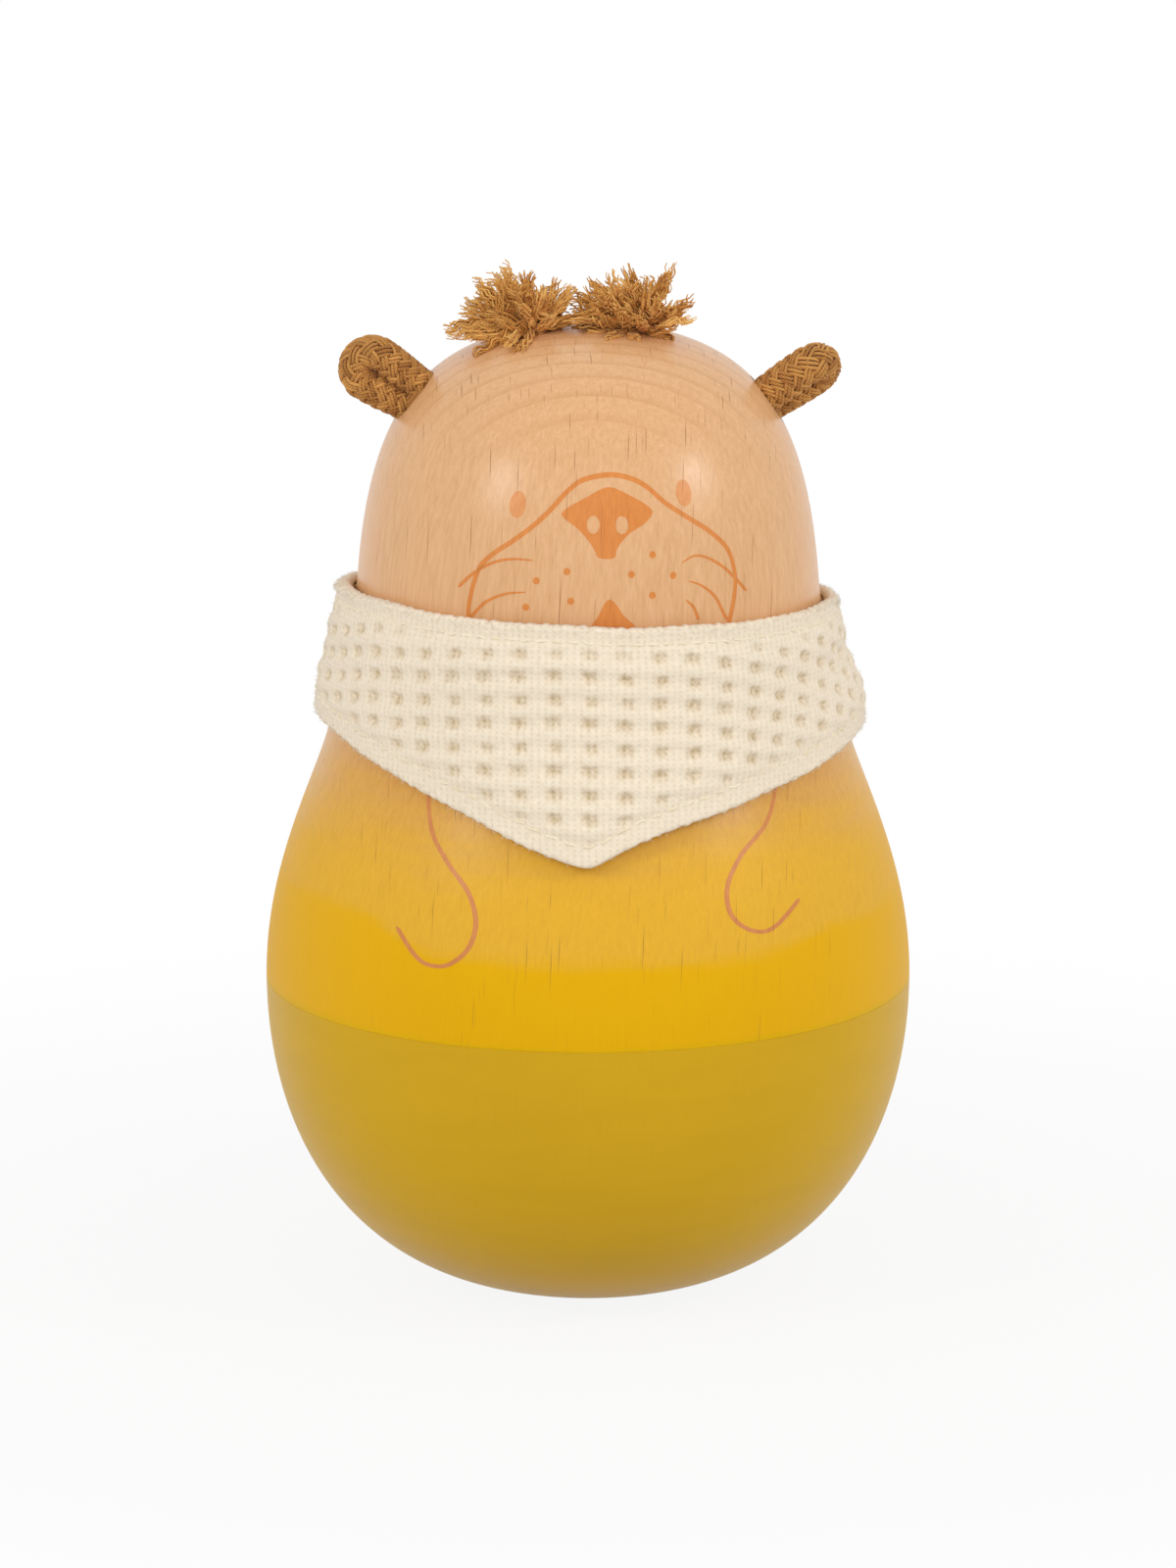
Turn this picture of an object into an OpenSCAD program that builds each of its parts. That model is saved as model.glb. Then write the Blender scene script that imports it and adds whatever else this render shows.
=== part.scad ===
// Roly poly toy: a turned wooden animal cub with cord ears, frayed cord hair and a cloth bandana.
// Millimetres, +Z up, the face looks along -Y. The origin is the middle of the flat spot it rests on.

/* [Body] */
// Diameter of the body at the seam, its widest line
belly_d = 80; // [76:1:88]
// Height of the wooden body
body_h = 120; // [116:1:128]
// Height of the glued seam between the two halves
seam_z = 39; // [36:0.5:42]
// Diameter of the flat spot that the toy rests on
foot_d = 12; // [8:0.5:18]
// Diameter of the body at the shoulder
shoulder_d = 64.8; // [62:0.2:68]
// Height of the shoulder
shoulder_z = 69; // [67:0.5:71]
// Lean of the flank from upright at the shoulder, in degrees
shoulder_lean = 17.5; // [14:0.5:20]
// Diameter of the head at the cheeks
head_d = 56.6; // [54:0.2:60]
// Height of the cheeks
head_z = 90; // [88:0.5:92]
// Lean of the head's side from upright at the cheeks, in degrees
head_lean = 4.8; // [3:0.2:8]
// Thickness of the turned wooden wall
wall = 8; // [6:0.5:9]
// Thickness of the solid crown above the hollow
crown_wall = 16; // [14:0.5:20]

/* [Joint between the halves] */
// Height of the spigot ring that reaches down into the bowl
spigot_h = 5; // [3:0.5:7]
// Thickness of the spigot ring
spigot_t = 4; // [3:0.25:4.5]
// Glue gap beside and below the spigot
glue_gap = 0.1; // [0.05:0.05:0.2]

/* [Ballast] */
// Diameter of the steel slug
ballast_d = 42; // [36:1:44]
// Height of the steel slug
ballast_h = 18; // [12:1:20]
// Wood left under the slug
floor_t = 8; // [7:0.5:10]
// Gap round the slug in its pocket
ballast_gap = 0.2; // [0.1:0.05:0.4]
// Diameter of the wood screw over its thread
screw_d = 4; // [3.5:0.1:5]
// How deep the screw bites into the floor of the bowl
screw_bite = 6; // [4:0.25:6.5]
// Diameter of the screw's head
screw_head_d = 8; // [7:0.25:10]
// Height of the screw's head
screw_head_h = 2.6; // [2:0.1:3.5]
// Outer diameter of the washer
washer_d = 16; // [12:0.5:20]
// Thickness of the washer
washer_t = 1.2; // [0.8:0.1:2]
// Gap round the screw in the slug and the washer
screw_gap = 0.3; // [0.1:0.05:0.5]

/* [Ears] */
// Diameter of the braided ear cord
cord_d = 4.5; // [4:0.1:5]
// Width of the ear loop over its two legs
ear_w = 9.3; // [9.2:0.1:11]
// How far the loop stands out from the wood
ear_reach = 10.2; // [8.5:0.1:12]
// Height of the left ear hole on the head
left_ear_z = 112; // [109:0.5:113]
// Height of the right ear hole on the head
right_ear_z = 111; // [109:0.5:113]
// Lift of the ears above level, in degrees
ear_lift = 33; // [25:1:45]
// Turn of the left loop about its own axis, in degrees
left_ear_turn = -6; // [-60:1:60]
// Turn of the right loop about its own axis, in degrees
right_ear_turn = 58; // [-60:1:60]
// Diameter of the drilled ear hole
ear_hole_d = 7.2; // [6.8:0.1:8]
// Depth of the drilled ear hole
ear_hole_depth = 9; // [6:0.5:10]

/* [Hair] */
// Distance between the two hair holes on the crown
hair_pitch = 13.4; // [13:0.2:16]
// Diameter of the drilled hair hole
hair_hole_d = 4.7; // [4.2:0.1:5]
// Depth of the drilled hair hole
hair_hole_depth = 8; // [5:0.5:10]
// How far the bound part of the cord stands out of the crown
hair_rise = 1.6; // [1.5:0.1:2]
// Diameter of the splayed head of the cord, where the strands part
hair_core_d = 8; // [7:0.2:8.4]
// Height of the splayed head of the cord
hair_core_h = 3; // [2.5:0.1:4]
// Length of a frayed strand that stands straight up
hair_l = 4.6; // [3.5:0.1:5]
// Columns of strands round a tuft
hair_columns = 18; // [12:1:20]
// Rows of strands up a tuft
hair_rows = 5; // [4:1:6]

/* [Bandana] */
// Height of the top edge at the throat
bandana_top_z = 88.75; // [87:0.25:90]
// How much lower the top edge lies at the nape
bandana_nape_fall = 4; // [0:0.5:5]
// Height of the lower edge at the nape
bandana_low_z = 74.5; // [72:0.5:77]
// Height of the front point
bandana_tip_z = 60.8; // [58:0.2:63]
// Angle over which the lower edge runs out of the front point, in degrees
bandana_point_spread = 50; // [36:1:64]
// Tilt of the bandana, its right side lower, in degrees
bandana_tilt = 1.8; // [0:0.1:3]
// Turn of the front point from the middle of the face, in degrees
bandana_turn = -5; // [-15:1:15]
// Thickness of the waffle cloth outside
face_ply_t = 1.2; // [0.8:0.1:1.6]
// Thickness of the lining cloth
lining_ply_t = 0.9; // [0.6:0.1:1.2]
// How far the lining stops short of the sewn edges
lining_inset = 1.2; // [0.8:0.1:2]
// Gap between the lining and the wood
cloth_gap = 0.3; // [0.25:0.05:0.5]
// Gap between the two layers of cloth
ply_gap = 0.15; // [0.12:0.01:0.3]

/* [Hidden] */
$fn = 96;

// Overrun of every cut
cut = 1;
// Steps along one stretch of the body's outline
outline_steps = 14;
// Clearance of a glued cord in its hole
cord_gap = 0.1;

// Curve handles of the body's outline, each a share of its stretch
foot_handle_share = 0.65;
bowl_handle_share = 0.57;
belly_handle_share = 0.43;
flank_handle_share = 0.24;
neck_handle_share = 0.42;
temple_handle_share = 0.71;
crown_handle_share = 0.68;

// A smooth stretch from point a to point d with handles b and c
function stretch(a, b, c, d) =
    [for (i = [0 : outline_steps])
        let (t = i / outline_steps)
        a * (1 - t) ^ 3 + 3 * b * t * (1 - t) ^ 2 + 3 * c * t ^ 2 * (1 - t) + d * t ^ 3];

// Direction of the outline at a given lean from upright
function leaning(lean) = [-sin(lean), cos(lean)];

// Outline of the bowl from the flat spot to the seam, as radius and height
function bowl_outline() =
    let (foot = [foot_d / 2, 0], belly = [belly_d / 2, seam_z])
    stretch(foot, foot + [foot_handle_share * (belly.x - foot.x), 0],
            belly - [0, bowl_handle_share * seam_z], belly);

// Outline of the upper half from the seam to the axis, drawn in by a wall
function upper_outline(inset, top_z) =
    let (belly = [belly_d / 2 - inset, seam_z],
         shoulder = [shoulder_d / 2 - inset, shoulder_z],
         cheek = [head_d / 2 - inset, head_z],
         crown = [0, top_z],
         flank_h = shoulder_z - seam_z,
         neck_h = head_z - shoulder_z)
    concat(stretch(belly, belly + [0, belly_handle_share * flank_h],
                   shoulder - leaning(shoulder_lean) * flank_handle_share * flank_h, shoulder),
           stretch(shoulder, shoulder + leaning(shoulder_lean) * neck_handle_share * neck_h,
                   cheek - leaning(head_lean) * neck_handle_share * neck_h, cheek),
           stretch(cheek, cheek + leaning(head_lean) * temple_handle_share * (top_z - head_z),
                   crown + [crown_handle_share * cheek.x, 0], crown));

// Points of the outline without the doubled point where two stretches meet
function without_doubles(points) =
    [for (i = [0 : len(points) - 1]) if (i == 0 || points[i] != points[i - 1]) points[i]];

body_points = without_doubles(upper_outline(0, body_h));
hollow_points = without_doubles(upper_outline(wall, body_h - crown_wall));
radius_by_height = [for (p = body_points) [p.y, p.x]];
height_by_radius = [for (i = [len(body_points) - 1 : -1 : 0]) [body_points[i].x, body_points[i].y]];

// Radius of the upper half at a height
function body_radius(z) = lookup(z, radius_by_height);

hollow_r = belly_d / 2 - wall;
spigot_r = hollow_r + spigot_t;
pocket_r = ballast_d / 2 + ballast_gap;
pocket_top_z = floor_t + ballast_h;
screw_hole_r = screw_d / 2 + screw_gap;

// The upper half of the body, with its spigot, its hollow and the holes for the cords
module head_shell() {
    spigot_low_z = seam_z - spigot_h;
    hollow_down = [for (i = [len(hollow_points) - 1 : -1 : 0]) hollow_points[i]];
    spigot_points = [[hollow_r, spigot_low_z], [spigot_r, spigot_low_z], [spigot_r, seam_z]];
    color("burlywood")
        difference() {
            rotate_extrude()
                polygon(concat(body_points, hollow_down, spigot_points));
            for (side = [-1, 1]) {
                at_ear(side)
                    translate([0, 0, -ear_hole_depth])
                        cylinder(d = ear_hole_d, h = ear_hole_depth + ear_reach);
                at_hair(side)
                    translate([0, 0, -hair_hole_depth])
                        cylinder(d = hair_hole_d, h = hair_hole_depth + hair_l);
            }
        }
}

// The lower half of the body, bored for the spigot and the ballast
module base_bowl() {
    rebate_r = spigot_r + glue_gap;
    rebate_low_z = seam_z - spigot_h - glue_gap;
    bore_points = [[rebate_r, seam_z], [rebate_r, rebate_low_z], [hollow_r, rebate_low_z],
                   [hollow_r, pocket_top_z], [pocket_r, pocket_top_z], [pocket_r, floor_t], [0, floor_t], [0, 0]];
    color("goldenrod")
        difference() {
            rotate_extrude()
                polygon(concat(bowl_outline(), bore_points));
            screw_thread(screw_gap / 2);
        }
}

// The steel slug that makes the toy right itself
module ballast_weight() {
    color("gray")
        translate([0, 0, floor_t])
            difference() {
                cylinder(d = ballast_d, h = ballast_h);
                translate([0, 0, -cut])
                    cylinder(r = screw_hole_r, h = ballast_h + 2 * cut);
            }
}

// The washer under the screw's head
module ballast_washer() {
    color("silver")
        translate([0, 0, pocket_top_z])
            difference() {
                cylinder(d = washer_d, h = washer_t);
                translate([0, 0, -cut])
                    cylinder(r = screw_hole_r, h = washer_t + 2 * cut);
            }
}

// The screw's threaded end in the floor of the bowl, grown by a gap for its hole
module screw_thread(gap) {
    thread_turns = 4;
    core_share = 0.7;
    tip_share = 0.25;
    pitch = screw_bite * (1 - tip_share) / thread_turns;
    tip_z = floor_t - screw_bite;
    core_r = core_share * screw_d / 2 + gap;
    crest_r = screw_d / 2 + gap;
    tip_top_z = tip_z + tip_share * screw_bite;
    ridges = [for (i = [0 : thread_turns - 1], half = [0, 1])
        [half == 0 ? core_r : crest_r, tip_top_z + (i + half / 2) * pitch]];
    rotate_extrude()
        polygon(concat([[0, tip_z - gap]], ridges, [[core_r, floor_t], [0, floor_t]]));
}

// The wood screw that holds the slug down
module ballast_screw() {
    seat_z = pocket_top_z + washer_t;
    shank_share = 0.7;
    slot_w = screw_d / 4;
    slot_depth = screw_head_h / 2;
    color("silver")
        difference() {
            union() {
                screw_thread(0);
                translate([0, 0, floor_t])
                    cylinder(d = shank_share * screw_d, h = seat_z - floor_t);
                translate([0, 0, seat_z])
                    cylinder(d = screw_head_d, h = screw_head_h);
            }
            for (turn = [0, 90])
                translate([0, 0, seat_z + screw_head_h])
                    rotate([0, 0, turn])
                        cube([screw_head_d / 2, slot_w, 2 * slot_depth], center = true);
        }
}

// Places its children on an ear hole's axis, which points out of the wood
module at_ear(side) {
    ear_z = side < 0 ? left_ear_z : right_ear_z;
    translate([side * body_radius(ear_z), 0, ear_z])
        rotate([0, side * (90 - ear_lift), 0])
            children();
}

// One ear: a loop of cord whose legs are squeezed together in the hole
module ear(side, turn) {
    bend_r = (ear_w - cord_d) / 2;
    bend_z = ear_reach - bend_r - cord_d / 2;
    leg_z = cord_d / 3;
    plug_depth = ear_hole_depth - cord_gap;
    color("peru")
        at_ear(side)
            rotate([0, 0, turn]) {
                translate([0, 0, -plug_depth])
                    cylinder(d = ear_hole_d - 2 * cord_gap, h = plug_depth + cord_d / 2);
                for (leg = [-1, 1])
                    translate([leg * bend_r, 0, leg_z])
                        cylinder(d = cord_d, h = bend_z - leg_z);
                translate([0, 0, bend_z])
                    rotate([90, 0, 0])
                        rotate_extrude(angle = 180)
                            translate([bend_r, 0])
                                circle(d = cord_d);
            }
}

module left_ear() {
    ear(-1, left_ear_turn);
}

module right_ear() {
    ear(1, right_ear_turn);
}

// Places its children on a hair hole's axis, at the crown's surface
module at_hair(side) {
    translate([side * hair_pitch / 2, 0, lookup(hair_pitch / 2, height_by_radius)])
        children();
}

// Share of a strand's full length below which no strand is cut, and its lean, droop and taper
hair_short_share = 0.72;
hair_lean_share = 0.52;
hair_droop_share = 0.3;
hair_middle_share = 0.55;
hair_taper_share = 0.62;

// A point on the splayed head of a tuft, by row and column
function hair_point(row, column) =
    let (rise = 90 * row / hair_rows, way = 360 * column / hair_columns)
    [hair_core_d / 2 * cos(rise) * cos(way), hair_core_d / 2 * cos(rise) * sin(way),
     hair_rise + hair_core_h * sin(rise)];

// The points and the face that strand number k grows from: two for each field and one for each field at the pole
function hair_index(row, column) = row * hair_columns + column % hair_columns;
hair_pole = hair_rows * hair_columns;
hair_roots = concat(
    [for (row = [0 : hair_rows - 2], column = [0 : hair_columns - 1], half = [0, 1])
        half == 0
            ? [hair_index(row, column), hair_index(row + 1, column + 1), hair_index(row, column + 1)]
            : [hair_index(row, column), hair_index(row + 1, column), hair_index(row + 1, column + 1)]],
    [for (column = [0 : hair_columns - 1])
        [hair_index(hair_rows - 1, column), hair_pole, hair_index(hair_rows - 1, column + 1)]]);
hair_head_points = concat(
    [for (row = [0 : hair_rows - 1], column = [0 : hair_columns - 1]) hair_point(row, column)],
    [[0, 0, hair_rise + hair_core_h]]);

// The four further points of one strand: three half way and its tip
function strand_points(k, side) =
    let (root = [for (i = hair_roots[k]) hair_head_points[i]],
         middle = (root[0] + root[1] + root[2]) / 3,
         away = middle - [0, 0, hair_rise],
         way = away / norm(away),
         full_share = hair_short_share + (1 - hair_short_share) * (1 + sin(137.5 * k)) / 2,
         reach = hair_l * full_share * (1 + hair_lean_share * side * way.x),
         droop = [0, 0, -hair_droop_share * reach * (1 - way.z)],
         half_way = way * reach * hair_middle_share + droop * hair_middle_share ^ 2)
    concat([for (p = root) middle + half_way + (p - middle) * hair_taper_share],
           [middle + way * reach + droop]);

// The faces of one strand, from its root to its tip
function strand_faces(k, first) =
    let (root = hair_roots[k], half = [first, first + 1, first + 2], tip = first + 3)
    concat([for (i = [0 : 2]) [root[i], root[(i + 1) % 3], half[(i + 1) % 3]]],
           [for (i = [0 : 2]) [root[i], half[(i + 1) % 3], half[i]]],
           [for (i = [0 : 2]) [half[i], half[(i + 1) % 3], tip]]);

// One tuft: a cord stub in its hole, a splayed head and the frayed strands that grow from it
module hair_tuft(side) {
    strand_first = len(hair_head_points);
    stub_first = strand_first + 4 * len(hair_roots);
    stub_r = hair_hole_d / 2 - cord_gap;
    stub_points = [for (z = [0, cord_gap - hair_hole_depth], column = [0 : hair_columns - 1])
        let (way = 360 * column / hair_columns)
        [stub_r * cos(way), stub_r * sin(way), z]];
    points = concat(hair_head_points,
                    [for (k = [0 : len(hair_roots) - 1]) each strand_points(k, side)],
                    stub_points);
    stub = [for (column = [0 : hair_columns - 1]) stub_first + column];
    stub_end = [for (column = [0 : hair_columns - 1]) stub_first + hair_columns + column];
    splay = [for (column = [0 : hair_columns - 1]) column];
    faces = concat([for (k = [0 : len(hair_roots) - 1]) each strand_faces(k, strand_first + 4 * k)],
                   ring_faces(stub, splay), ring_faces(stub_end, stub),
                   [for (i = [1 : hair_columns - 2]) [stub_end[0], stub_end[i], stub_end[i + 1]]]);
    color("sienna")
        at_hair(side)
            polyhedron(points, faces);
}

// Triangles between two closed rings of points, the second above the first
function ring_faces(low, high) =
    let (n = len(low))
    [for (i = [0 : n - 1], half = [0, 1])
        half == 0 ? [low[i], high[(i + 1) % n], low[(i + 1) % n]] : [low[i], high[i], high[(i + 1) % n]]];

module left_hair_tuft() {
    hair_tuft(-1);
}

module right_hair_tuft() {
    hair_tuft(1);
}

// Columns of points round the bandana
bandana_columns = 72;
// Fall of the bandana at an angle round the neck, from its tilt
function bandana_fall(way) = body_radius(bandana_top_z) * sin(way) * tan(bandana_tilt);
// Share of the nape's fall that the top edge has taken, at an angle from the front point
function nape_share(way) = ((1 - cos(way)) / 2) ^ 2;
// Height of the top edge, at an angle from the front point
function bandana_top(way) = bandana_top_z - bandana_nape_fall * nape_share(way) - bandana_fall(way);
// How far the lower edge has run out of the front point, at an angle to one side
function bandana_run(side_way) = 1 - exp(-side_way / bandana_point_spread);
// Height of the lower edge, which levels off towards the nape
function bandana_low(way) =
    let (side_way = abs(way > 180 ? way - 360 : way), rise_share = bandana_run(side_way) / bandana_run(180))
    bandana_tip_z + (bandana_low_z - bandana_tip_z) * rise_share - bandana_fall(way);

// Cross section of the outer layer: shares of its height and of its thickness, round at both edges
face_section_shares = [[0, 0.5], [0.015, 0.85], [0.06, 1], [0.28, 1], [0.5, 1], [0.72, 1], [0.94, 1], [0.985, 0.85],
                       [1, 0.5], [0.985, 0.15], [0.94, 0], [0.72, 0], [0.5, 0], [0.28, 0], [0.06, 0], [0.015, 0.15]];
lining_section_shares = [[0, 0.5], [0.03, 1], [0.35, 1], [0.65, 1], [0.97, 1],
                         [1, 0.5], [0.97, 0], [0.65, 0], [0.35, 0], [0.03, 0]];

// A ring of cloth round the neck, following the wood at an offset
module cloth_ring(section_shares, offset_in, thickness, edge_inset) {
    sides = len(section_shares);
    points = [for (column = [0 : bandana_columns - 1], share = section_shares)
        let (way = 360 * column / bandana_columns,
             low = bandana_low(way) + edge_inset,
             z = low + share.x * (bandana_top(way) - edge_inset - low),
             r = body_radius(z) + offset_in + share.y * thickness,
             turned_way = way + bandana_turn)
        [r * sin(turned_way), -r * cos(turned_way), z]];
    function corner(column, side) = (column % bandana_columns) * sides + side % sides;
    faces = [for (column = [0 : bandana_columns - 1], side = [0 : sides - 1], half = [0, 1])
        half == 0
            ? [corner(column, side), corner(column + 1, side + 1), corner(column + 1, side)]
            : [corner(column, side), corner(column, side + 1), corner(column + 1, side + 1)]];
    polyhedron(points, faces);
}

// The waffle cloth outside
module bandana_face() {
    color("linen")
        cloth_ring(face_section_shares, cloth_gap + lining_ply_t + ply_gap, face_ply_t, 0);
}

// The lining against the neck
module bandana_lining() {
    color("oldlace")
        cloth_ring(lining_section_shares, cloth_gap, lining_ply_t, lining_inset);
}

head_shell();
base_bowl();
ballast_weight();
ballast_washer();
ballast_screw();
left_ear();
right_ear();
left_hair_tuft();
right_hair_tuft();
bandana_face();
bandana_lining();
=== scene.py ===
"""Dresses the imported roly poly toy: turned beech, printed ink, braided ears, frayed hair, a bandana."""

import logging
import math
import random
from dataclasses import dataclass, field
from enum import Enum
from functools import partial
from typing import Callable, Sequence

import bpy
import numpy as np
from mathutils import Matrix, Vector


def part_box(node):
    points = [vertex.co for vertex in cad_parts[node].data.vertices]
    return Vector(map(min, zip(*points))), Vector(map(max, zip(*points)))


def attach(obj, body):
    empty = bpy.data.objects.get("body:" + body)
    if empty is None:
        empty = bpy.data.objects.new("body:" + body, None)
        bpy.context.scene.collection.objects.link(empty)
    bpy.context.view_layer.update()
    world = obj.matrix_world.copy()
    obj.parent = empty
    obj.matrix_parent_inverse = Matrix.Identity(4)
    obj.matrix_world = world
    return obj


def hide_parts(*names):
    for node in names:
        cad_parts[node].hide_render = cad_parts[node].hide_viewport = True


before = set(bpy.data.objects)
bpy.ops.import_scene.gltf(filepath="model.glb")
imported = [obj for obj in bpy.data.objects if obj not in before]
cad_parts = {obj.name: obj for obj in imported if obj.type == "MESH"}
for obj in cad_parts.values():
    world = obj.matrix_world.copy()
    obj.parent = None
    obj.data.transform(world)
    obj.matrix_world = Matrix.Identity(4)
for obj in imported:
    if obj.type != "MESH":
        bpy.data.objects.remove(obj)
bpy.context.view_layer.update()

LOG = logging.getLogger("roly_poly_toy")
MM = 0.001
FINE_STEPS = 24
# The angles up to which edges are shaded smooth, in degrees
TURNED_EDGE = 32.0
FILM_EDGE = 40.0

Array = np.ndarray
Object = bpy.types.Object
Socket = bpy.types.NodeSocket
Adder = Callable[..., Socket]
Point = tuple[float, float]
Triple = tuple[float, float, float]
# A smooth sway: its rise, its seed, and the waves round the ring
Sway = tuple[float, int, tuple[int, ...]]
# Gives a value for each point of a grid, from its shares along and across the grid
Shaper = Callable[[Array, Array], Array]

# Settings that many shader nodes share
RGBA = {"data_type": "RGBA"}
EASED = {"interpolation_type": "SMOOTHSTEP"}
# The scale at which a wave texture draws one ring in each cell
ONE_RING = math.tau / 20.0


class Body(Enum):
    """The two bodies that pieces ride on."""

    TOY = "toy"
    BANDANA = "bandana"


class Side(Enum):
    """The toy's two sides as the viewer sees them, with the sign of their X."""

    LEFT = -1
    RIGHT = 1


# Number helpers


def smooth_step(low: float, high: float, value: Array) -> Array:
    """Rises smoothly from 0 at low to 1 at high."""
    share = np.clip((np.asarray(value, float) - low) / (high - low), 0.0, 1.0)
    return share * share * (3.0 - 2.0 * share)


def wander(way: Array, sways: Sequence[Sway]) -> Array:
    """Adds up smooth closed sways round a ring.

    Args:
        way: Angles round the ring, in radians.
        sways: The sways to add.

    Returns:
        Their sum at each angle.
    """
    total = np.zeros(np.shape(way))
    for rise, seed, waves in sways:
        chance = random.Random(seed)
        parts = [np.sin(count * np.asarray(way) + chance.uniform(0.0, math.tau)) for count in waves]
        total = total + rise * (sum(parts) / len(parts))
    return total


def bezier(a: Point, b: Point, c: Point, d: Point, steps: int) -> list[Point]:
    """Draws a smooth stretch between two points.

    Args:
        a: The first point.
        b: The first point's handle.
        c: The last point's handle.
        d: The last point.
        steps: How many steps it gets.

    Returns:
        The points of the stretch.
    """
    t = np.linspace(0.0, 1.0, steps + 1)[:, None]
    a, b, c, d = (np.asarray(p, float) for p in (a, b, c, d))
    curve = a * (1 - t) ** 3 + 3 * b * t * (1 - t) ** 2 + 3 * c * t**2 * (1 - t) + d * t**3
    return [tuple(p) for p in curve.tolist()]


def distances(line: Array) -> Array:
    """Gives how far along a line each of its points lies."""
    return np.concatenate([[0.0], np.cumsum(np.linalg.norm(np.diff(line, axis=0), axis=1))])


def directions(line: Array) -> Array:
    """Gives a line's unit direction at each of its points."""
    along = np.gradient(line, axis=0)
    return along / np.linalg.norm(along, axis=1, keepdims=True)


def evenly_spaced(line: Array, steps: int) -> Array:
    """Divides a line into steps of the same length.

    Args:
        line: The line's points.
        steps: How many steps it gets.

    Returns:
        The new points.
    """
    gone = distances(line)
    wanted = np.linspace(0.0, gone[-1], steps + 1)
    return np.stack([np.interp(wanted, gone, line[:, k]) for k in range(line.shape[1])], axis=1)


def rounded_line(points: Sequence[Point], steps: int, closed: bool = False) -> Array:
    """Runs a smooth line through given points.

    Args:
        points: The points to pass through.
        steps: How many steps the whole line gets.
        closed: Whether the line returns to its first point.

    Returns:
        Points along the line, evenly spaced.
    """
    knots = np.asarray(points, float)
    around = np.vstack([knots[-1:], knots, knots[:2]]) if closed else np.vstack(
        [2 * knots[:1] - knots[1:2], knots, 2 * knots[-1:] - knots[-2:-1]])
    t = np.linspace(0.0, 1.0, FINE_STEPS, endpoint=False)[:, None]
    fine = []
    for p0, p1, p2, p3 in zip(around, around[1:], around[2:], around[3:]):
        fine.append(0.5 * (2 * p1 + (p2 - p0) * t + (2 * p0 - 5 * p1 + 4 * p2 - p3) * t**2
                           + (3 * p1 - p0 - 3 * p2 + p3) * t**3))
    fine.append(knots[:1] if closed else knots[-1:])
    return evenly_spaced(np.vstack(fine), steps)


# Mesh helpers


def add_primitive(operator: Callable, name: str, **settings: object) -> Object:
    """Adds a primitive with nothing else selected, and names it.

    Args:
        operator: The operator that adds it.
        name: Its name.
        settings: The operator's settings.

    Returns:
        The new object.
    """
    bpy.ops.object.select_all(action="DESELECT")
    operator(**settings)
    obj = bpy.context.object
    obj.name = obj.data.name = name
    return obj


def pick_only(*objs: Object) -> None:
    """Selects objects alone, with the first one active.

    Args:
        objs: The objects.
    """
    bpy.ops.object.select_all(action="DESELECT")
    for obj in objs:
        obj.select_set(True)
    bpy.context.view_layer.objects.active = objs[0]


def close_mesh(obj: Object, merge_mm: float = 0.004) -> None:
    """Merges doubled points and turns the faces outwards.

    Args:
        obj: The object.
        merge_mm: How near doubled points lie.
    """
    pick_only(obj)
    bpy.ops.object.mode_set(mode="EDIT")
    bpy.ops.mesh.select_all(action="SELECT")
    bpy.ops.mesh.remove_doubles(threshold=merge_mm * MM)
    bpy.ops.mesh.normals_make_consistent(inside=False)
    bpy.ops.object.mode_set(mode="OBJECT")


def apply_modifier(obj: Object, kind: str, **settings: object) -> None:
    """Adds a modifier and applies it.

    Args:
        obj: The object.
        kind: The modifier's type.
        settings: The modifier's settings.
    """
    pick_only(obj)
    modifier = obj.modifiers.new(kind.lower(), kind)
    for name, value in settings.items():
        setattr(modifier, name, value)
    bpy.ops.object.modifier_apply(modifier=modifier.name)


def join_pieces(name: str, pieces: Sequence[Object]) -> Object:
    """Joins pieces into the first one.

    Args:
        name: The new name.
        pieces: The pieces.

    Returns:
        The joined piece.
    """
    pick_only(*pieces)
    bpy.ops.object.join()
    pieces[0].name = pieces[0].data.name = name
    return pieces[0]


def mesh_points(mesh: bpy.types.Mesh) -> Array:
    """Gives the places of a mesh's points.

    Args:
        mesh: The mesh.

    Returns:
        The places, one row each.
    """
    flat = np.empty(len(mesh.vertices) * 3)
    mesh.vertices.foreach_get("co", flat)
    return flat.reshape(-1, 3)


def mark_points(mesh: bpy.types.Mesh, name: str, values: Array) -> None:
    """Keeps one number for each point of a mesh, for its material."""
    mesh.attributes.new(name, "FLOAT", "POINT").data.foreach_set("value", np.asarray(values, np.float32))


def turned_piece(name: str, outline: Sequence[Point], segments: int) -> Object:
    """Turns a closed outline round the Z axis, as on a lathe.

    Args:
        name: The piece's name.
        outline: Radius and height of each point, in millimetres.
        segments: How many segments the turn has.

    Returns:
        The closed solid of the turn.
    """
    obj = add_primitive(bpy.ops.mesh.primitive_plane_add, name, size=MM)
    bpy.ops.object.mode_set(mode="EDIT")
    bpy.ops.mesh.select_mode(type="VERT")
    bpy.ops.mesh.select_all(action="SELECT")
    bpy.ops.mesh.merge(type="CENTER")
    bpy.ops.transform.translate(value=(outline[0][0] * MM, 0.0, outline[0][1] * MM))
    for here, there in zip(outline, outline[1:]):
        step = ((there[0] - here[0]) * MM, 0.0, (there[1] - here[1]) * MM)
        bpy.ops.mesh.extrude_region_move(TRANSFORM_OT_translate={"value": step})
    bpy.ops.mesh.select_all(action="SELECT")
    bpy.ops.mesh.spin(steps=segments, angle=math.tau, center=(0.0, 0.0, 0.0), axis=(0.0, 0.0, 1.0))
    bpy.ops.object.mode_set(mode="OBJECT")
    close_mesh(obj)
    bpy.ops.object.shade_smooth_by_angle(angle=math.radians(TURNED_EDGE))
    return obj


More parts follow.
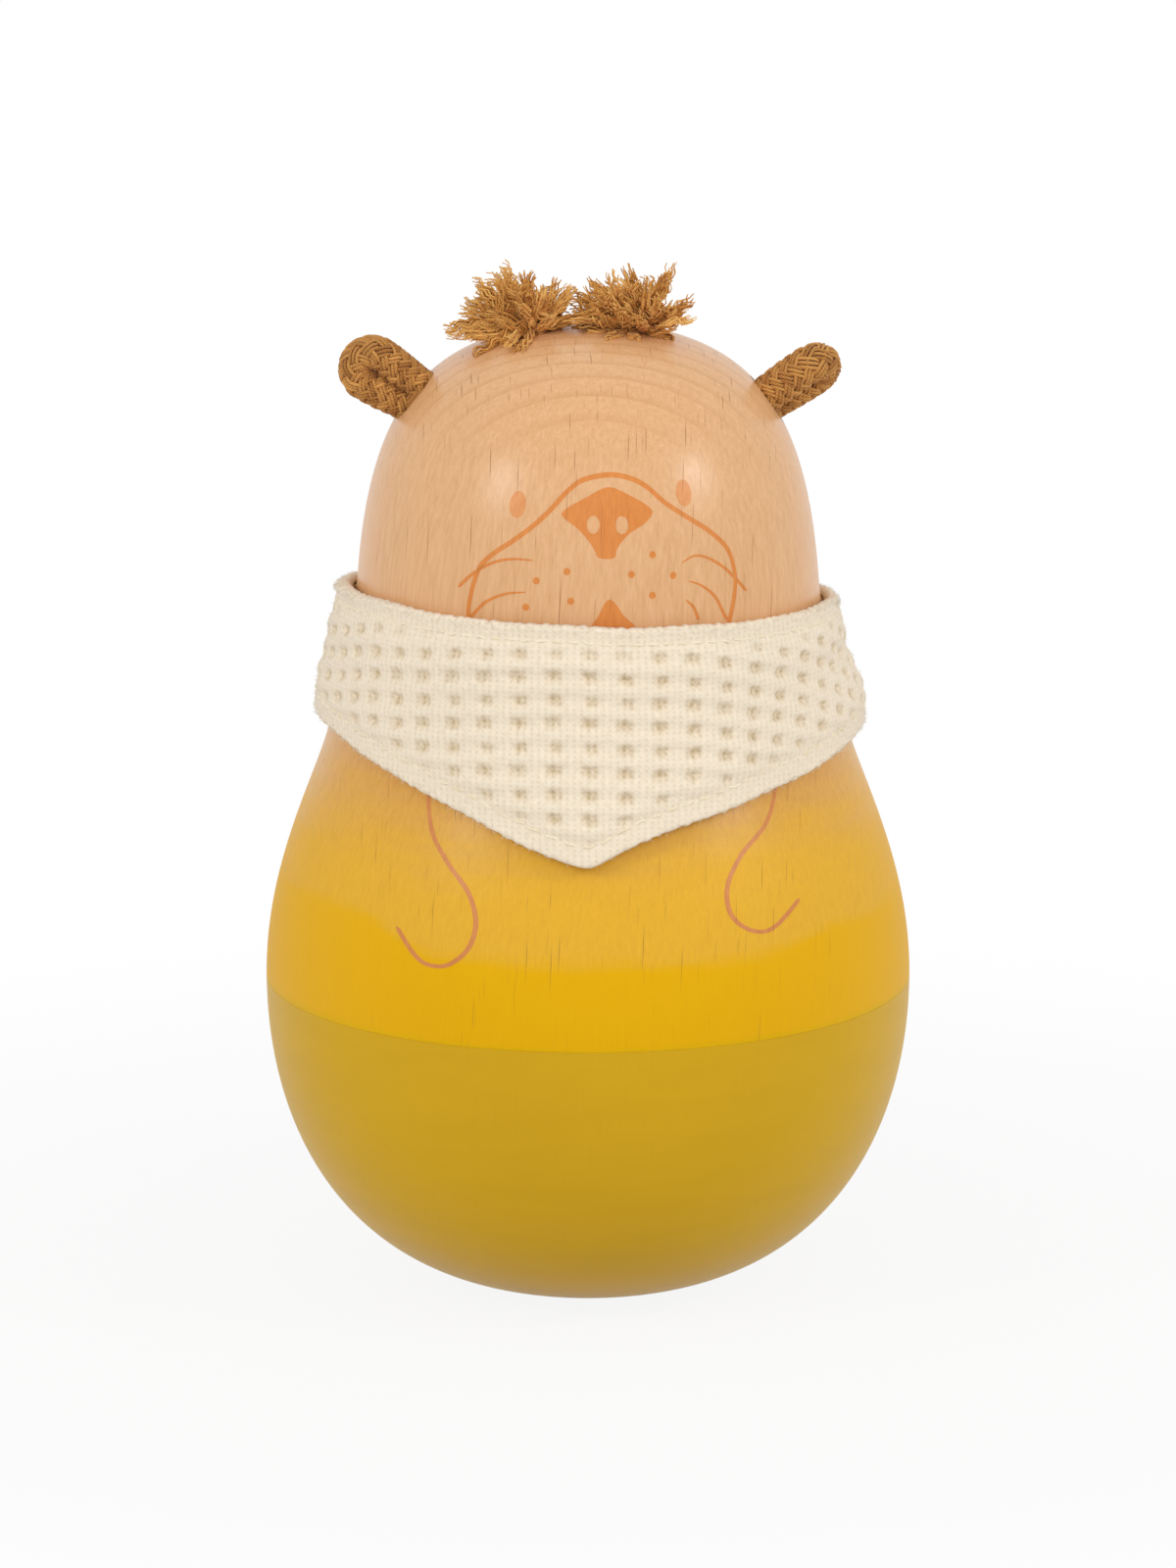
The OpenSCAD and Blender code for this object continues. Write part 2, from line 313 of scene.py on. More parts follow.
def shaped_grid(name: str, columns: int, rows: int, place: Shaper, pattern: Shaper | None = None) -> Object:
    """Lays a grid on a surface.

    Args:
        name: The piece's name.
        columns: Fields along the grid.
        rows: Fields across the grid.
        place: Gives each point's place in millimetres from its two shares along and across the grid.
        pattern: Gives each point's place on the cloth's UV map from the same shares.

    Returns:
        The shaped grid, smooth shaded.
    """
    obj = add_primitive(bpy.ops.mesh.primitive_grid_add, name, x_subdivisions=columns, y_subdivisions=rows,
                        size=2.0)
    mesh = obj.data
    along, across = (mesh_points(mesh)[:, k] / 2.0 + 0.5 for k in (0, 1))
    mesh.vertices.foreach_set("co", (place(along, across) * MM).ravel())
    if pattern is not None:
        owners = np.empty(len(mesh.loops), dtype=np.int64)
        mesh.loops.foreach_get("vertex_index", owners)
        mesh.uv_layers.active.data.foreach_set("uv", pattern(along, across)[owners].ravel())
    mesh.update()
    bpy.ops.object.shade_smooth()
    return obj


def tube_rings(path: Array, radii: Array, sides: int) -> Array:
    """Gives rings of points round a path.

    Args:
        path: Points of the centre line.
        radii: The tube's radius at each point.
        sides: Points of a ring.

    Returns:
        An array of rings by sides by three.
    """
    along = directions(path)
    start = np.cross(along[0], (0.31, 0.87, 0.38))
    across = np.empty_like(path)
    across[0] = start / np.linalg.norm(start)
    for i in range(1, len(path)):
        turned = across[i - 1] - along[i] * np.dot(across[i - 1], along[i])
        across[i] = turned / np.linalg.norm(turned)
    beside = np.cross(along, across)
    turn = np.linspace(0.0, math.tau, sides, endpoint=False)[None, :, None]
    ring = across[:, None, :] * np.cos(turn) + beside[:, None, :] * np.sin(turn)
    return path[:, None, :] + ring * radii[:, None, None]


@dataclass
class Strand:
    """One yarn or fibre: its centre line, its radii, and how light it is from 0 to 1."""

    path: Array
    radii: Array
    tone: float


def strand_bundle(name: str, strands: Sequence[Strand], sides: int) -> Object:
    """Makes one mesh of many closed strands, with their tone and their UV map.

    Args:
        name: The piece's name.
        strands: The strands in millimetres.
        sides: Sides of each strand.

    Returns:
        The bundle, smooth shaded.
    """
    points, faces, tones, marks = [], [], [], []
    for strand in strands:
        first = len(tones)
        rings = tube_rings(strand.path, strand.radii, sides)
        count = len(rings)
        gone = distances(strand.path)
        points.append(rings.reshape(-1, 3))
        tones.extend([strand.tone] * (count * sides))
        for i in range(count - 1):
            low, high = first + i * sides, first + (i + 1) * sides
            for j in range(sides):
                k = (j + 1) % sides
                faces.append((low + j, low + k, high + k, high + j))
                left, right = j / sides, (j + 1) / sides
                marks.extend([(gone[i], left), (gone[i], right), (gone[i + 1], right), (gone[i + 1], left)])
        for ring in (range(sides - 1, -1, -1), range((count - 1) * sides, count * sides)):
            faces.append(tuple(first + i for i in ring))
            marks.extend([(0.0, 0.0)] * sides)
    mesh = bpy.data.meshes.new(name)
    mesh.from_pydata((np.vstack(points) * MM).tolist(), [], faces)
    mesh.uv_layers.new(name="yarn").data.foreach_set("uv", np.asarray(marks, float).ravel())
    mark_points(mesh, "tone", tones)
    mesh.update()
    obj = bpy.data.objects.new(name, mesh)
    bpy.context.collection.objects.link(obj)
    pick_only(obj)
    bpy.ops.object.shade_smooth()
    return obj


# Material helpers


def hex_linear(code: str) -> tuple[float, float, float, float]:
    """Turns an sRGB hex colour into a linear one.

    Args:
        code: The colour, as a hash sign and six digits.

    Returns:
        Linear red, green, blue and alpha.
    """
    parts = [int(code[i:i + 2], 16) / 255.0 for i in (1, 3, 5)]
    linear = [c / 12.92 if c <= 0.04045 else ((c + 0.055) / 1.055) ** 2.4 for c in parts]
    return (*linear, 1.0)


def mm(*sizes: float) -> tuple[float, ...]:
    """Turns real sizes in millimetres into metres, the unit of the object coordinates."""
    return tuple(size * MM for size in sizes)


def add_node(tree: bpy.types.NodeTree, kind: str, inputs: Sequence[object] | dict[str, object] = (),
             output: str | None = None, **settings: object) -> Socket:
    """Adds a shader node with its settings and its inputs.

    Args:
        tree: The node tree.
        kind: The node's type, after the word ShaderNode.
        inputs: A value, an sRGB hex colour or a socket for each input, in the order of the inputs in use
            or by name.
        output: The output to return, or the first one in use.
        settings: The node's own properties.

    Returns:
        The chosen output socket.
    """
    node = tree.nodes.new(f"ShaderNode{kind}")
    for name, value in settings.items():
        setattr(node, name, value)
    used = [socket for socket in node.inputs if socket.enabled]
    if isinstance(inputs, dict):
        used = [next(socket for socket in used if socket.name == name) for name in inputs]
        inputs = list(inputs.values())
    for socket, value in zip(used, inputs):
        if isinstance(value, Socket):
            tree.links.new(value, socket)
        else:
            socket.default_value = hex_linear(value) if isinstance(value, str) else value
    return node.outputs[output] if output else next(socket for socket in node.outputs if socket.enabled)


def cells(add: Adder, sizes: Triple, turn: Triple = (0.0, 0.0, 0.0),
          centre: Triple = (0.0, 0.0, 0.0)) -> Socket:
    """Gives the object's own coordinates, counted in cells of a real size.

    Args:
        add: Adds a node to the material.
        sizes: A cell's size in millimetres.
        turn: How the cells are turned, in radians.
        centre: Where they start, in millimetres.

    Returns:
        The coordinates.
    """
    place = add("TexCoord", output="Object")
    return add("Mapping", [place, mm(*centre), turn, mm(*sizes)], vector_type="TEXTURE")


# Finishes


@dataclass(frozen=True)
class Finish:
    """A finish, which makes the material of its name once."""

    name: str

    def nodes(self, add: Adder) -> dict[str, object]:
        """Adds the nodes and gives the shader's inputs, as values or sockets."""
        raise NotImplementedError

    def material(self) -> bpy.types.Material:
        """Makes the material, or finds the one that was made before.

        Returns:
            The material.
        """
        found = bpy.data.materials.get(self.name)
        if found is not None:
            return found
        material = bpy.data.materials.new(self.name)
        material.use_nodes = True
        tree = material.node_tree
        shader = next(n for n in tree.nodes if n.type == "BSDF_PRINCIPLED")
        for socket, value in self.nodes(partial(add_node, tree)).items():
            if isinstance(value, Socket):
                tree.links.new(value, shader.inputs[socket])
            else:
                shader.inputs[socket].default_value = value
        return material


@dataclass(frozen=True)
class Beech(Finish):
    """Steamed beech: pinkish tan, with thin dark ray flecks along the grain and faint year rings on top."""

    pale: str = "#EDBC8B"
    deep: str = "#DBA46F"
    late_wood: str = "#CC9059"
    fleck: str = "#A26B39"
    fibres_mm: tuple[Triple, ...] = ((0.5, 0.5, 10.0), (0.2, 0.2, 3.0))
    fine_share: float = 0.45
    light_range: Point = (0.28, 0.72)
    # Each kind of fleck as the size of its cells, its share of a cell and its strength
    flecks: tuple[tuple[Triple, float, float], ...] = (((0.42, 9.0, 24.0), 0.18, 1.0),
                                                       ((0.36, 7.0, 15.0), 0.15, 0.75))
    # A fleck is this much narrower where it is darkest
    fleck_core: float = 2.5
    # Flecks are cut lengthwise on the sides and fade there: from and to what share the wood faces X
    fleck_fade: Point = (0.55, 0.9)
    side_flecks: float = 0.3
    lean: float = 3.5
    ring_mm: Triple = (2.6, 2.6, 60.0)
    ring_start: float = 0.6
    ring_strength: float = 0.4
    pith_mm: Triple = (6.0, 150.0, 0.0)
    crown_z: Point = (105.0, 116.0)

    def grain(self, add: Adder) -> tuple[Socket, Socket]:
        """Draws the bare wood.

        Args:
            add: Adds a node to the material.

        Returns:
            The wood's colour, and its height for bump.
        """
        turn = (0.0, math.radians(self.lean), 0.0)
        fibres = [add("TexNoise", {"Vector": cells(add, sizes, turn), "Scale": 1.0, "Detail": 3.0})
                  for sizes in self.fibres_mm]
        height = add("Mix", [self.fine_share, *fibres])
        light = add("MapRange", [height, *self.light_range])
        colour = add("Mix", [light, self.deep, self.pale], **RGBA)
        z = add("SeparateXYZ", [add("TexCoord", output="Object")], "Z")
        crown = add("MapRange", [z, *mm(*self.crown_z), 0.0, self.ring_strength], **EASED)
        place = cells(add, self.ring_mm, centre=self.pith_mm)
        rings = add("TexWave", {"Vector": place, "Scale": ONE_RING, "Distortion": 2.2, "Detail": 1.0,
                                "Detail Scale": 0.25},
                    "Fac", wave_type="RINGS", rings_direction="Z", wave_profile="SAW")
        late = add("MapRange", [rings, self.ring_start, 1.0, 0.0, crown], **EASED)
        colour = add("Mix", [late, colour, self.late_wood], **RGBA)
        sideways = add("SeparateXYZ", [add("TexCoord", output="Normal")], "X")
        sideways = add("Math", [sideways], operation="ABSOLUTE")
        facing = add("MapRange", [sideways, *self.fleck_fade, 1.0, self.side_flecks])
        for sizes, width, strength in self.flecks:
            distance = add("TexVoronoi", {"Vector": cells(add, sizes, turn), "Scale": 1.0})
            rays = add("MapRange", [distance, width, width / self.fleck_core, 0.0, strength], **EASED)
            depth = add("Math", [distance.node.outputs["Color"], 0.5], operation="POWER")
            depth = add("Math", [depth, facing], operation="MULTIPLY")
            rays = add("Math", [rays, depth], operation="MULTIPLY", use_clamp=True)
            colour = add("Mix", [rays, colour, self.fleck], **RGBA)
            height = add("Math", [height, rays], operation="SUBTRACT")
        return colour, height


@dataclass(frozen=True)
class GlazedBeech(Beech):
    """Oiled beech with a thin yellow glaze, laid on twice above the seam: satin, the grain shows through."""

    name: str = "oiled_beech_with_yellow_glaze"
    coats: tuple[str, ...] = ("#F6EA98", "#FFF646", "#FFF800")
    coats_z: tuple[Point, ...] = ((86.0, 65.0), (70.0, 55.0), (50.6, 48.3))
    # The last two coats as their pigment, how much of the grain it hides, and the tint of their gloss
    films: tuple[tuple[str, float, str], ...] = (("#EDB83E", 0.42, "#FFF0B4"), ("#E9AF00", 0.72, "#FFE63C"))
    # The bowl's paint, where it has spread over the seam
    spread: str = "#DAAF0E"
    spread_z: Point = (39.9, 38.7)
    spread_rise: float = 1.0
    # How rough the bare wood is, and the glaze
    roughs: Point = (0.3, 0.52)
    # The clouds in the washes as their size and their rise
    clouds: tuple[tuple[Triple, float], ...] = (((15.0, 15.0, 8.0), 9.0), ((24.0, 24.0, 1.8), 7.0))
    edge_rise: float = 3.0
    # Where the second coat was brushed higher: from X, to X, and by how much
    lifts: tuple[Triple, ...] = ((-20.0, -29.0, 3.4), (17.0, 30.0, 1.8))
    # Flecks show through the glaze: from and to what height they are sunk, and how strongly
    sunk_range: Point = (0.2, -0.4)
    sunk_strength: float = 0.5

    def nodes(self, add: Adder) -> dict[str, object]:
        """Lays the glaze over the grain by height: two cloudy washes, then a second coat with a wavy edge.

        Args:
            add: Adds a node to the material.

        Returns:
            The shader's inputs, as values or sockets.
        """
        wood, height = self.grain(add)
        x = add("SeparateXYZ", [add("TexCoord", output="Object")], "X")
        z = cloudy = edge = x.node.outputs["Z"]
        for sizes, rise in self.clouds:
            noise = add("TexNoise", {"Vector": cells(add, sizes), "Scale": 1.0, "Detail": 3.0})
            cloud = add("Math", [noise, 0.5], operation="SUBTRACT")
            cloudy = add("Math", [cloud, rise * MM, cloudy], operation="MULTIPLY_ADD")
            edge = add("Math", [cloud, self.edge_rise * MM, edge], operation="MULTIPLY_ADD")
        for start, end, rise in self.lifts:
            lift = add("MapRange", [x, *mm(start, end), 0.0, rise * MM], **EASED)
            edge = add("Math", [edge, lift], operation="SUBTRACT")
        steps = [add("MapRange", [level, *mm(*between)], **EASED)
                 for level, between in zip((cloudy, cloudy, edge), self.coats_z)]
        glaze = self.coats[0]
        for step, coat in zip(steps[1:], self.coats[1:]):
            glaze = add("Mix", [step, glaze, coat], **RGBA)
        colour = add("Mix", [steps[0], wood, glaze], blend_type="MULTIPLY", **RGBA)
        gloss = "#FFFFFF"
        for step, (pigment, hide, shine) in zip(steps[1:], self.films):
            gloss = add("Mix", [step, gloss, shine], **RGBA)
            film = add("Math", [step, hide], operation="MULTIPLY")
            colour = add("Mix", [film, colour, pigment], **RGBA)
        level = add("Math", [cloud, self.spread_rise * MM, z], operation="MULTIPLY_ADD")
        spread = add("MapRange", [level, *mm(*self.spread_z)], **EASED)
        colour = add("Mix", [spread, colour, self.spread], **RGBA)
        sunk = add("MapRange", [height, *self.sunk_range, 0.0, self.sunk_strength])
        colour = add("Mix", [sunk, colour, self.fleck], **RGBA)
        bump = add("Bump", {"Height": height, "Strength": 0.1, "Distance": 0.05 * MM})
        rough = add("MapRange", [steps[1], 0.0, 1.0, *self.roughs])
        return {"Base Color": colour, "Roughness": rough, "Specular IOR Level": 0.36, "Specular Tint": gloss,
                "Normal": bump}


@dataclass(frozen=True)
class PaintedBeech(Beech):
    """Beech under semi-opaque mustard paint: smooth and even, and the grain only just shows."""

    name: str = "mustard_painted_beech"
    paint: str = "#DDB210"
    thin_paint: str = "#D4A90E"
    cloud_mm: Triple = (18.0, 18.0, 3.0)
    grain_share: float = 0.14

    def nodes(self, add: Adder) -> dict[str, object]:
        """Lays the paint over the grain.

        Args:
            add: Adds a node to the material.

        Returns:
            The shader's inputs, as values or sockets.
        """
        wood, height = self.grain(add)
        cloud = add("TexNoise", {"Vector": cells(add, self.cloud_mm), "Scale": 1.0, "Detail": 4.0})
        paint = add("Mix", [cloud, self.thin_paint, self.paint], **RGBA)
        colour = add("Mix", [self.grain_share, paint, wood], blend_type="MULTIPLY", **RGBA)
        bump = add("Bump", {"Height": height, "Strength": 0.05, "Distance": 0.04 * MM})
        return {"Base Color": colour, "Roughness": 0.42, "Specular IOR Level": 0.22, "Normal": bump}


@dataclass(frozen=True)
class PrintInk(Beech):
    """Thin brown pad-print ink on beech: the grain shows through, and the ink is a little mottled."""

    name: str = "brown_print_ink"
    ink: str = "#F7C27C"
    thin_ink: str = "#F9CB8E"
    mottle_mm: Triple = (0.9, 0.9, 0.9)

    def nodes(self, add: Adder) -> dict[str, object]:
        """Tints the grain with mottled ink.

        Args:
            add: Adds a node to the material.

        Returns:
            The shader's inputs, as values or sockets.
        """
        wood, height = self.grain(add)
        mottle = add("TexNoise", {"Vector": cells(add, self.mottle_mm), "Scale": 1.0, "Detail": 2.0})
        ink = add("Mix", [mottle, self.ink, self.thin_ink], **RGBA)
        colour = add("Mix", [1.0, wood, ink], blend_type="MULTIPLY", **RGBA)
        bump = add("Bump", {"Height": height, "Strength": 0.1, "Distance": 0.05 * MM})
        return {"Base Color": colour, "Roughness": 0.36, "Specular IOR Level": 0.34, "Normal": bump}


@dataclass(frozen=True)
class KnitCotton(Finish):
    """Undyed knitted cotton: cream, matt and soft, with fine upright rows of V-shaped stitches."""

    name: str = "waffle_knit_cotton"
    # thread is the cotton's colour; shade is painted shade in the gaps between the stitches, and the darker
    # tone of the fuzz patches
    thread: str = "#FAEBD5"
    shade: str = "#E6D6BC"
    # hollow: painted shade in the waffle's hollows, partly the lining showing through
    hollow: str = "#CDB893"
    # The rows of stitches sway by this much, this often to a millimetre
    sway_mm: float = 0.3
    sway_scale: float = 0.9
    wale_mm: float = 0.84
    course_mm: float = 0.6
    slant: float = 0.9
    # The painted light and shade on a stitch as its swing and its mean, and how much narrower the shaded gap
    # is than a row
    dots: Point = (0.45, 0.55)
    gap_part: float = 2.6
    # The fuzz as its patches to a millimetre, their contrast, and its height beside a stitch
    fuzz_scale: float = 1.7
    fuzz_range: Triple = (0.3, 0.7, 0.5)
    fuzz_height: float = 0.6
    stitch_depth: float = 0.5
    # How much of the painted shade in the hollows lies between the stitches, and on them
    patches: Point = (1.6, 0.2)

    def nodes(self, add: Adder) -> dict[str, object]:
        """Draws the stitches on the cloth's own map, which is in millimetres, with painted light and shade,
        and darkens the hollows with painted shade.

        Args:
            add: Adds a node to the material.

        Returns:
            The shader's inputs, as values or sockets.
        """
        place = add("UVMap")
        sway = add("TexNoise", {"Vector": place, "Scale": self.sway_scale, "Detail": 2.0}, "Color")
        swayed = add("VectorMath", [sway, (self.sway_mm, self.sway_mm, 0.0), place], operation="MULTIPLY_ADD")
        u = add("SeparateXYZ", [swayed], "X")
        beside = add("Math", [u, self.wale_mm / 2.0], operation="PINGPONG")
        slanted = add("Math", [beside, self.slant, u.node.outputs["Y"]], operation="MULTIPLY_ADD")
        turn = add("Math", [slanted, math.tau / self.course_mm], operation="MULTIPLY")
        loops = add("Math", [turn], operation="SINE")
        dots = add("Math", [loops, *self.dots], operation="MULTIPLY_ADD")
        gap = add("MapRange", [beside, 0.0, self.wale_mm / self.gap_part, -1.0, 0.0], **EASED)
        stitch = add("Math", [gap, dots], operation="MULTIPLY")
        fuzz = add("TexNoise", {"Vector": place, "Scale": self.fuzz_scale, "Detail": 4.0})
        soft = add("MapRange", [fuzz, *self.fuzz_range])
        light = add("Math", [stitch, self.stitch_depth, soft], operation="MULTIPLY_ADD", use_clamp=True)
        # The stitches' painted light and shade: thread on the loops, shade in the gaps
        colour = add("Mix", [light, self.shade, self.thread], **RGBA)
        # Painted shade in the hollows, deeper between the stitches
        dimple = add("Attribute", output="Fac", attribute_name="dimple")
        patchy_hollow_shade = add("MapRange", [light, 0.0, 1.0, *self.patches])
        hollow = add("Math", [dimple, patchy_hollow_shade], operation="MULTIPLY", use_clamp=True)
        colour = add("Mix", [hollow, colour, self.hollow], **RGBA)
        height = add("Math", [fuzz, self.fuzz_height, stitch], operation="MULTIPLY_ADD")
        bump = add("Bump", {"Height": height, "Strength": 0.4, "Distance": 0.12 * MM})
        return {"Base Color": colour, "Roughness": 0.92, "Sheen Weight": 0.15, "Sheen Roughness": 0.5,
                "Specular IOR Level": 0.15, "Normal": bump}


@dataclass(frozen=True)
class Yarn(Finish):
    """Twisted cotton yarn: matt, each strand a little lighter or darker, with a fine slanting twist."""

    light: str
    dark: str
    twist_mm: float = 0.7
    # How much the twist darkens the grooves between the plies: painted shade
    painted_twist_shade: float = 0.18

    def nodes(self, add: Adder) -> dict[str, object]:
        """Colours each strand by its tone and twists it on its own map, which is in millimetres along; the
        twist's grooves are darkened as painted shade.

        Args:
            add: Adds a node to the material.

        Returns:
            The shader's inputs, as values or sockets.
        """
        tone = add("Attribute", output="Fac", attribute_name="tone")
        along = add("SeparateXYZ", [add("UVMap")], "X")
        turns = add("Math", [along, 1.0 / self.twist_mm, along.node.outputs["Y"]], operation="MULTIPLY_ADD")
        angle = add("Math", [turns, 2.0 * math.tau], operation="MULTIPLY")
        twist = add("Math", [angle], operation="SINE")
        shade = add("Math", [twist, self.painted_twist_shade, tone], operation="MULTIPLY_ADD", use_clamp=True)
        colour = add("Mix", [shade, self.dark, self.light], **RGBA)
        bump = add("Bump", {"Height": twist, "Strength": 0.4, "Distance": 0.05 * MM})
        return {"Base Color": colour, "Roughness": 0.9, "Sheen Weight": 0.15, "Specular IOR Level": 0.2,
                "Normal": bump}


@dataclass(frozen=True)
class Steel(Finish):
    """Plain or zinc plated steel: grey metal with fine lathe rings and a slightly cloudy gloss."""

    light: str
    dark: str
    roughs: Point = (0.28, 0.42)
    ring_mm: Triple = (0.5, 0.5, 0.5)
    cloud_mm: Triple = (5.556, 5.556, 5.556)

    def nodes(self, add: Adder) -> dict[str, object]:
        """Draws the lathe rings round the toy's axis, and clouds the gloss.

        Args:
            add: Adds a node to the material.

        Returns:
            The shader's inputs, as values or sockets.
        """
        place = cells(add, self.ring_mm)
        rings = add("TexWave", {"Vector": place, "Scale": ONE_RING, "Distortion": 0.4},
                    "Fac", wave_type="RINGS", rings_direction="Z")
        cloud = add("TexNoise", {"Vector": cells(add, self.cloud_mm), "Scale": 1.0, "Detail": 4.0})
        colour = add("Mix", [cloud, self.dark, self.light], **RGBA)
        rough = add("MapRange", [cloud, 0.0, 1.0, *self.roughs])
        bump = add("Bump", {"Height": rings, "Strength": 0.2, "Distance": 0.03 * MM})
        return {"Base Color": colour, "Metallic": 1.0, "Roughness": rough, "Normal": bump}


GLAZED_BEECH = GlazedBeech()
PAINTED_BEECH = PaintedBeech()
FACE_INK = PrintInk()
# The eyes' ink is paler than the face's ink: a painted highlight, where the lamps' gloss lies on the eyes
EYE_INK_HIGHLIGHT = PrintInk(name="brown_print_ink_with_painted_highlight", ink="#FCD5AA", thin_ink="#FEDEBA")
ARM_INK = PrintInk(name="brown_print_ink_on_glaze", ink="#EABC88", thin_ink="#F0C898")
BARE_SPOT = PrintInk(name="bare_beech_spot", ink="#FFF6EC", thin_ink="#FFFFFF")
WAFFLE_COTTON = KnitCotton()
LINING_COTTON = KnitCotton(name="plain_knit_cotton", thread="#F4E8D4", shade="#E0D0B4")
SEWING_THREAD = Yarn(name="cream_sewing_thread", light="#FFF8E2", dark="#F2E2BC", twist_mm=0.5)
COTTON_NAP = Yarn(name="loose_cotton_nap", light="#FFF6E6", dark="#F2E4CC")
EAR_YARN = Yarn(name="braided_brown_cotton_cord", light="#E4A95C", dark="#985F28")
# The cord's core is coloured dark as painted shade, where it shows between the braided yarns
EAR_CORE_SHADE = Yarn(name="cord_core_in_painted_shade", light="#7A4E28", dark="#5E3A1C")
HAIR_YARN = Yarn(name="frayed_brown_cotton_yarn", light="#FFCB74", dark="#D08C3B")
SLUG_STEEL = Steel(name="turned_mild_steel", light="#9A9B9E", dark="#77787C")
SCREW_STEEL = Steel(name="zinc_plated_steel", light="#C4C7CC", dark="#A5A9B0", roughs=(0.2, 0.32))


def place_piece(obj: Object, finish: Finish, body: Body, slot: str, *replaced: str) -> None:
    """Dresses a piece, seats it on its body and reports it.

    Args:
        obj: The piece.
        finish: The finish that makes its material.
        body: The body it rides on.
        slot: The record's material slot; not used.
        replaced: The CAD nodes it stands for.
    """
    obj.data.materials.clear()
    obj.data.materials.append(finish.material())
    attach(obj, body.value)
    if replaced:
        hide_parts(*replaced)
    LOG.info("%s: %d faces on %s", obj.name, len(obj.data.polygons), body.value)


# Sub-assemblies


@dataclass
class WoodenBody:
    """The two turned halves of the body. Sizes are in millimetres."""

    foot_r: float = 6.0
    shoulder_r: float = 32.4
    shoulder_z: float = 69.0
    shoulder_lean: float = 17.5
    cheek_r: float = 28.3
    cheek_z: float = 90.0
    cheek_lean: float = 4.8
    # How far each curve's two handles reach, as shares of its height or width
    flank_handles: Point = (0.43, 0.24)
    neck_handles: Point = (0.42, 0.42)
    dome_handles: Point = (0.71, 0.68)
    bowl_handles: Point = (0.65, 0.43)
    wall: float = 8.0
    crown_wall: float = 16.0
    spigot_h: float = 5.0
    spigot_t: float = 4.0
    glue_gap: float = 0.1
    pocket_gap: float = 0.2
    seam_break: float = 0.05
    segments: int = 240
    curve_steps: int = 44
    hollow_steps: int = 8
    bowl_steps: int = 64
    belly_r: float = field(init=False)
    seam_z: float = field(init=False)
    crown_z: float = field(init=False)
    outline: Array = field(init=False)

    def __post_init__(self) -> None:
        """Takes the main sizes from the frame and draws the outline."""
        bowl_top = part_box("base_bowl")[1]
        self.belly_r = bowl_top.x / MM
        self.seam_z = bowl_top.z / MM
        self.crown_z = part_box("head_shell")[1].z / MM
        self.outline = np.asarray(self.upper_outline(0.0, self.crown_z, self.curve_steps))

    def upper_outline(self, inset: float, top_z: float, steps: int) -> list[Point]:
        """Draws the upper half from the seam to the axis, drawn in by a wall.

        Args:
            inset: The wall to draw it in by.
            top_z: The height at the axis.
            steps: Steps of each of the three stretches.

        Returns:
            Radius and height of each point.
        """
        lean_out, lean_in = (np.array((-math.sin(math.radians(a)), math.cos(math.radians(a))))
                             for a in (self.shoulder_lean, self.cheek_lean))
        belly = np.array((self.belly_r - inset, self.seam_z))
        shoulder = np.array((self.shoulder_r - inset, self.shoulder_z))
        cheek = np.array((self.cheek_r - inset, self.cheek_z))
        crown = np.array((0.0, top_z))
        low, high = np.array(self.flank_handles) * (self.shoulder_z - self.seam_z)
        flank = bezier(belly, belly + (0.0, low), shoulder - lean_out * high, shoulder, steps)
        low, high = np.array(self.neck_handles) * (self.cheek_z - self.shoulder_z)
        neck = bezier(shoulder, shoulder + lean_out * low, cheek - lean_in * high, cheek, steps)
        low, high = self.dome_handles[0] * (top_z - self.cheek_z), self.dome_handles[1] * cheek[0]
        dome = bezier(cheek, cheek + lean_in * low, crown + (high, 0.0), crown, steps)
        return flank + neck[1:] + dome[1:]

    def radius(self, z: Array) -> Array:
        """Gives the radius of the upper half at a height."""
        return np.interp(z, self.outline[:, 1], self.outline[:, 0])

    def height(self, r: Array) -> Array:
        """Gives the height of the dome at a radius, above the cheeks."""
        dome = self.outline[self.outline[:, 1] >= self.cheek_z][::-1]
        return np.interp(r, dome[:, 0], dome[:, 1])

    def on_surface(self, way: Array, z: Array, lift: Array | float) -> Array:
        """Places points on the upper half.

        Args:
            way: Angles from the middle of the face towards +X, in radians.
            z: Heights.
            lift: How far the points stand off the wood, level outwards.

        Returns:
            The points, one row each.
        """
        r = self.radius(z) + lift
        return np.stack([r * np.sin(way), -r * np.cos(way), z + 0.0 * r], axis=1)

    def build(self, holes: Sequence[tuple[Matrix, float, float]]) -> None:
        """Turns both halves and drills the holes for the cords.

        Args:
            holes: For each hole its place and direction in millimetres, its diameter and its depth.
        """
        hollow_r = self.belly_r - self.wall
        spigot_r = hollow_r + self.spigot_t
        spigot_z = self.seam_z - self.spigot_h
        hollow = self.upper_outline(self.wall, self.crown_z - self.crown_wall, self.hollow_steps)[::-1]
        broken_r, clear = self.belly_r - self.seam_break, 2.0 * self.seam_break
        broken = [(broken_r, self.seam_z), (self.belly_r, self.seam_z + self.seam_break)]
        above = [tuple(p) for p in self.outline.tolist() if p[1] > self.seam_z + clear]
        spigot = [(hollow_r, spigot_z), (spigot_r, spigot_z), (spigot_r, self.seam_z)]
        head = turned_piece("upper_half", [*broken, *above, *hollow, *spigot, broken[0]], self.segments)
        for place, diameter, depth in holes:
            self.drill(head, place, diameter, depth)
        place_piece(head, GLAZED_BEECH, Body.TOY, "glazed_beech", "head_shell")

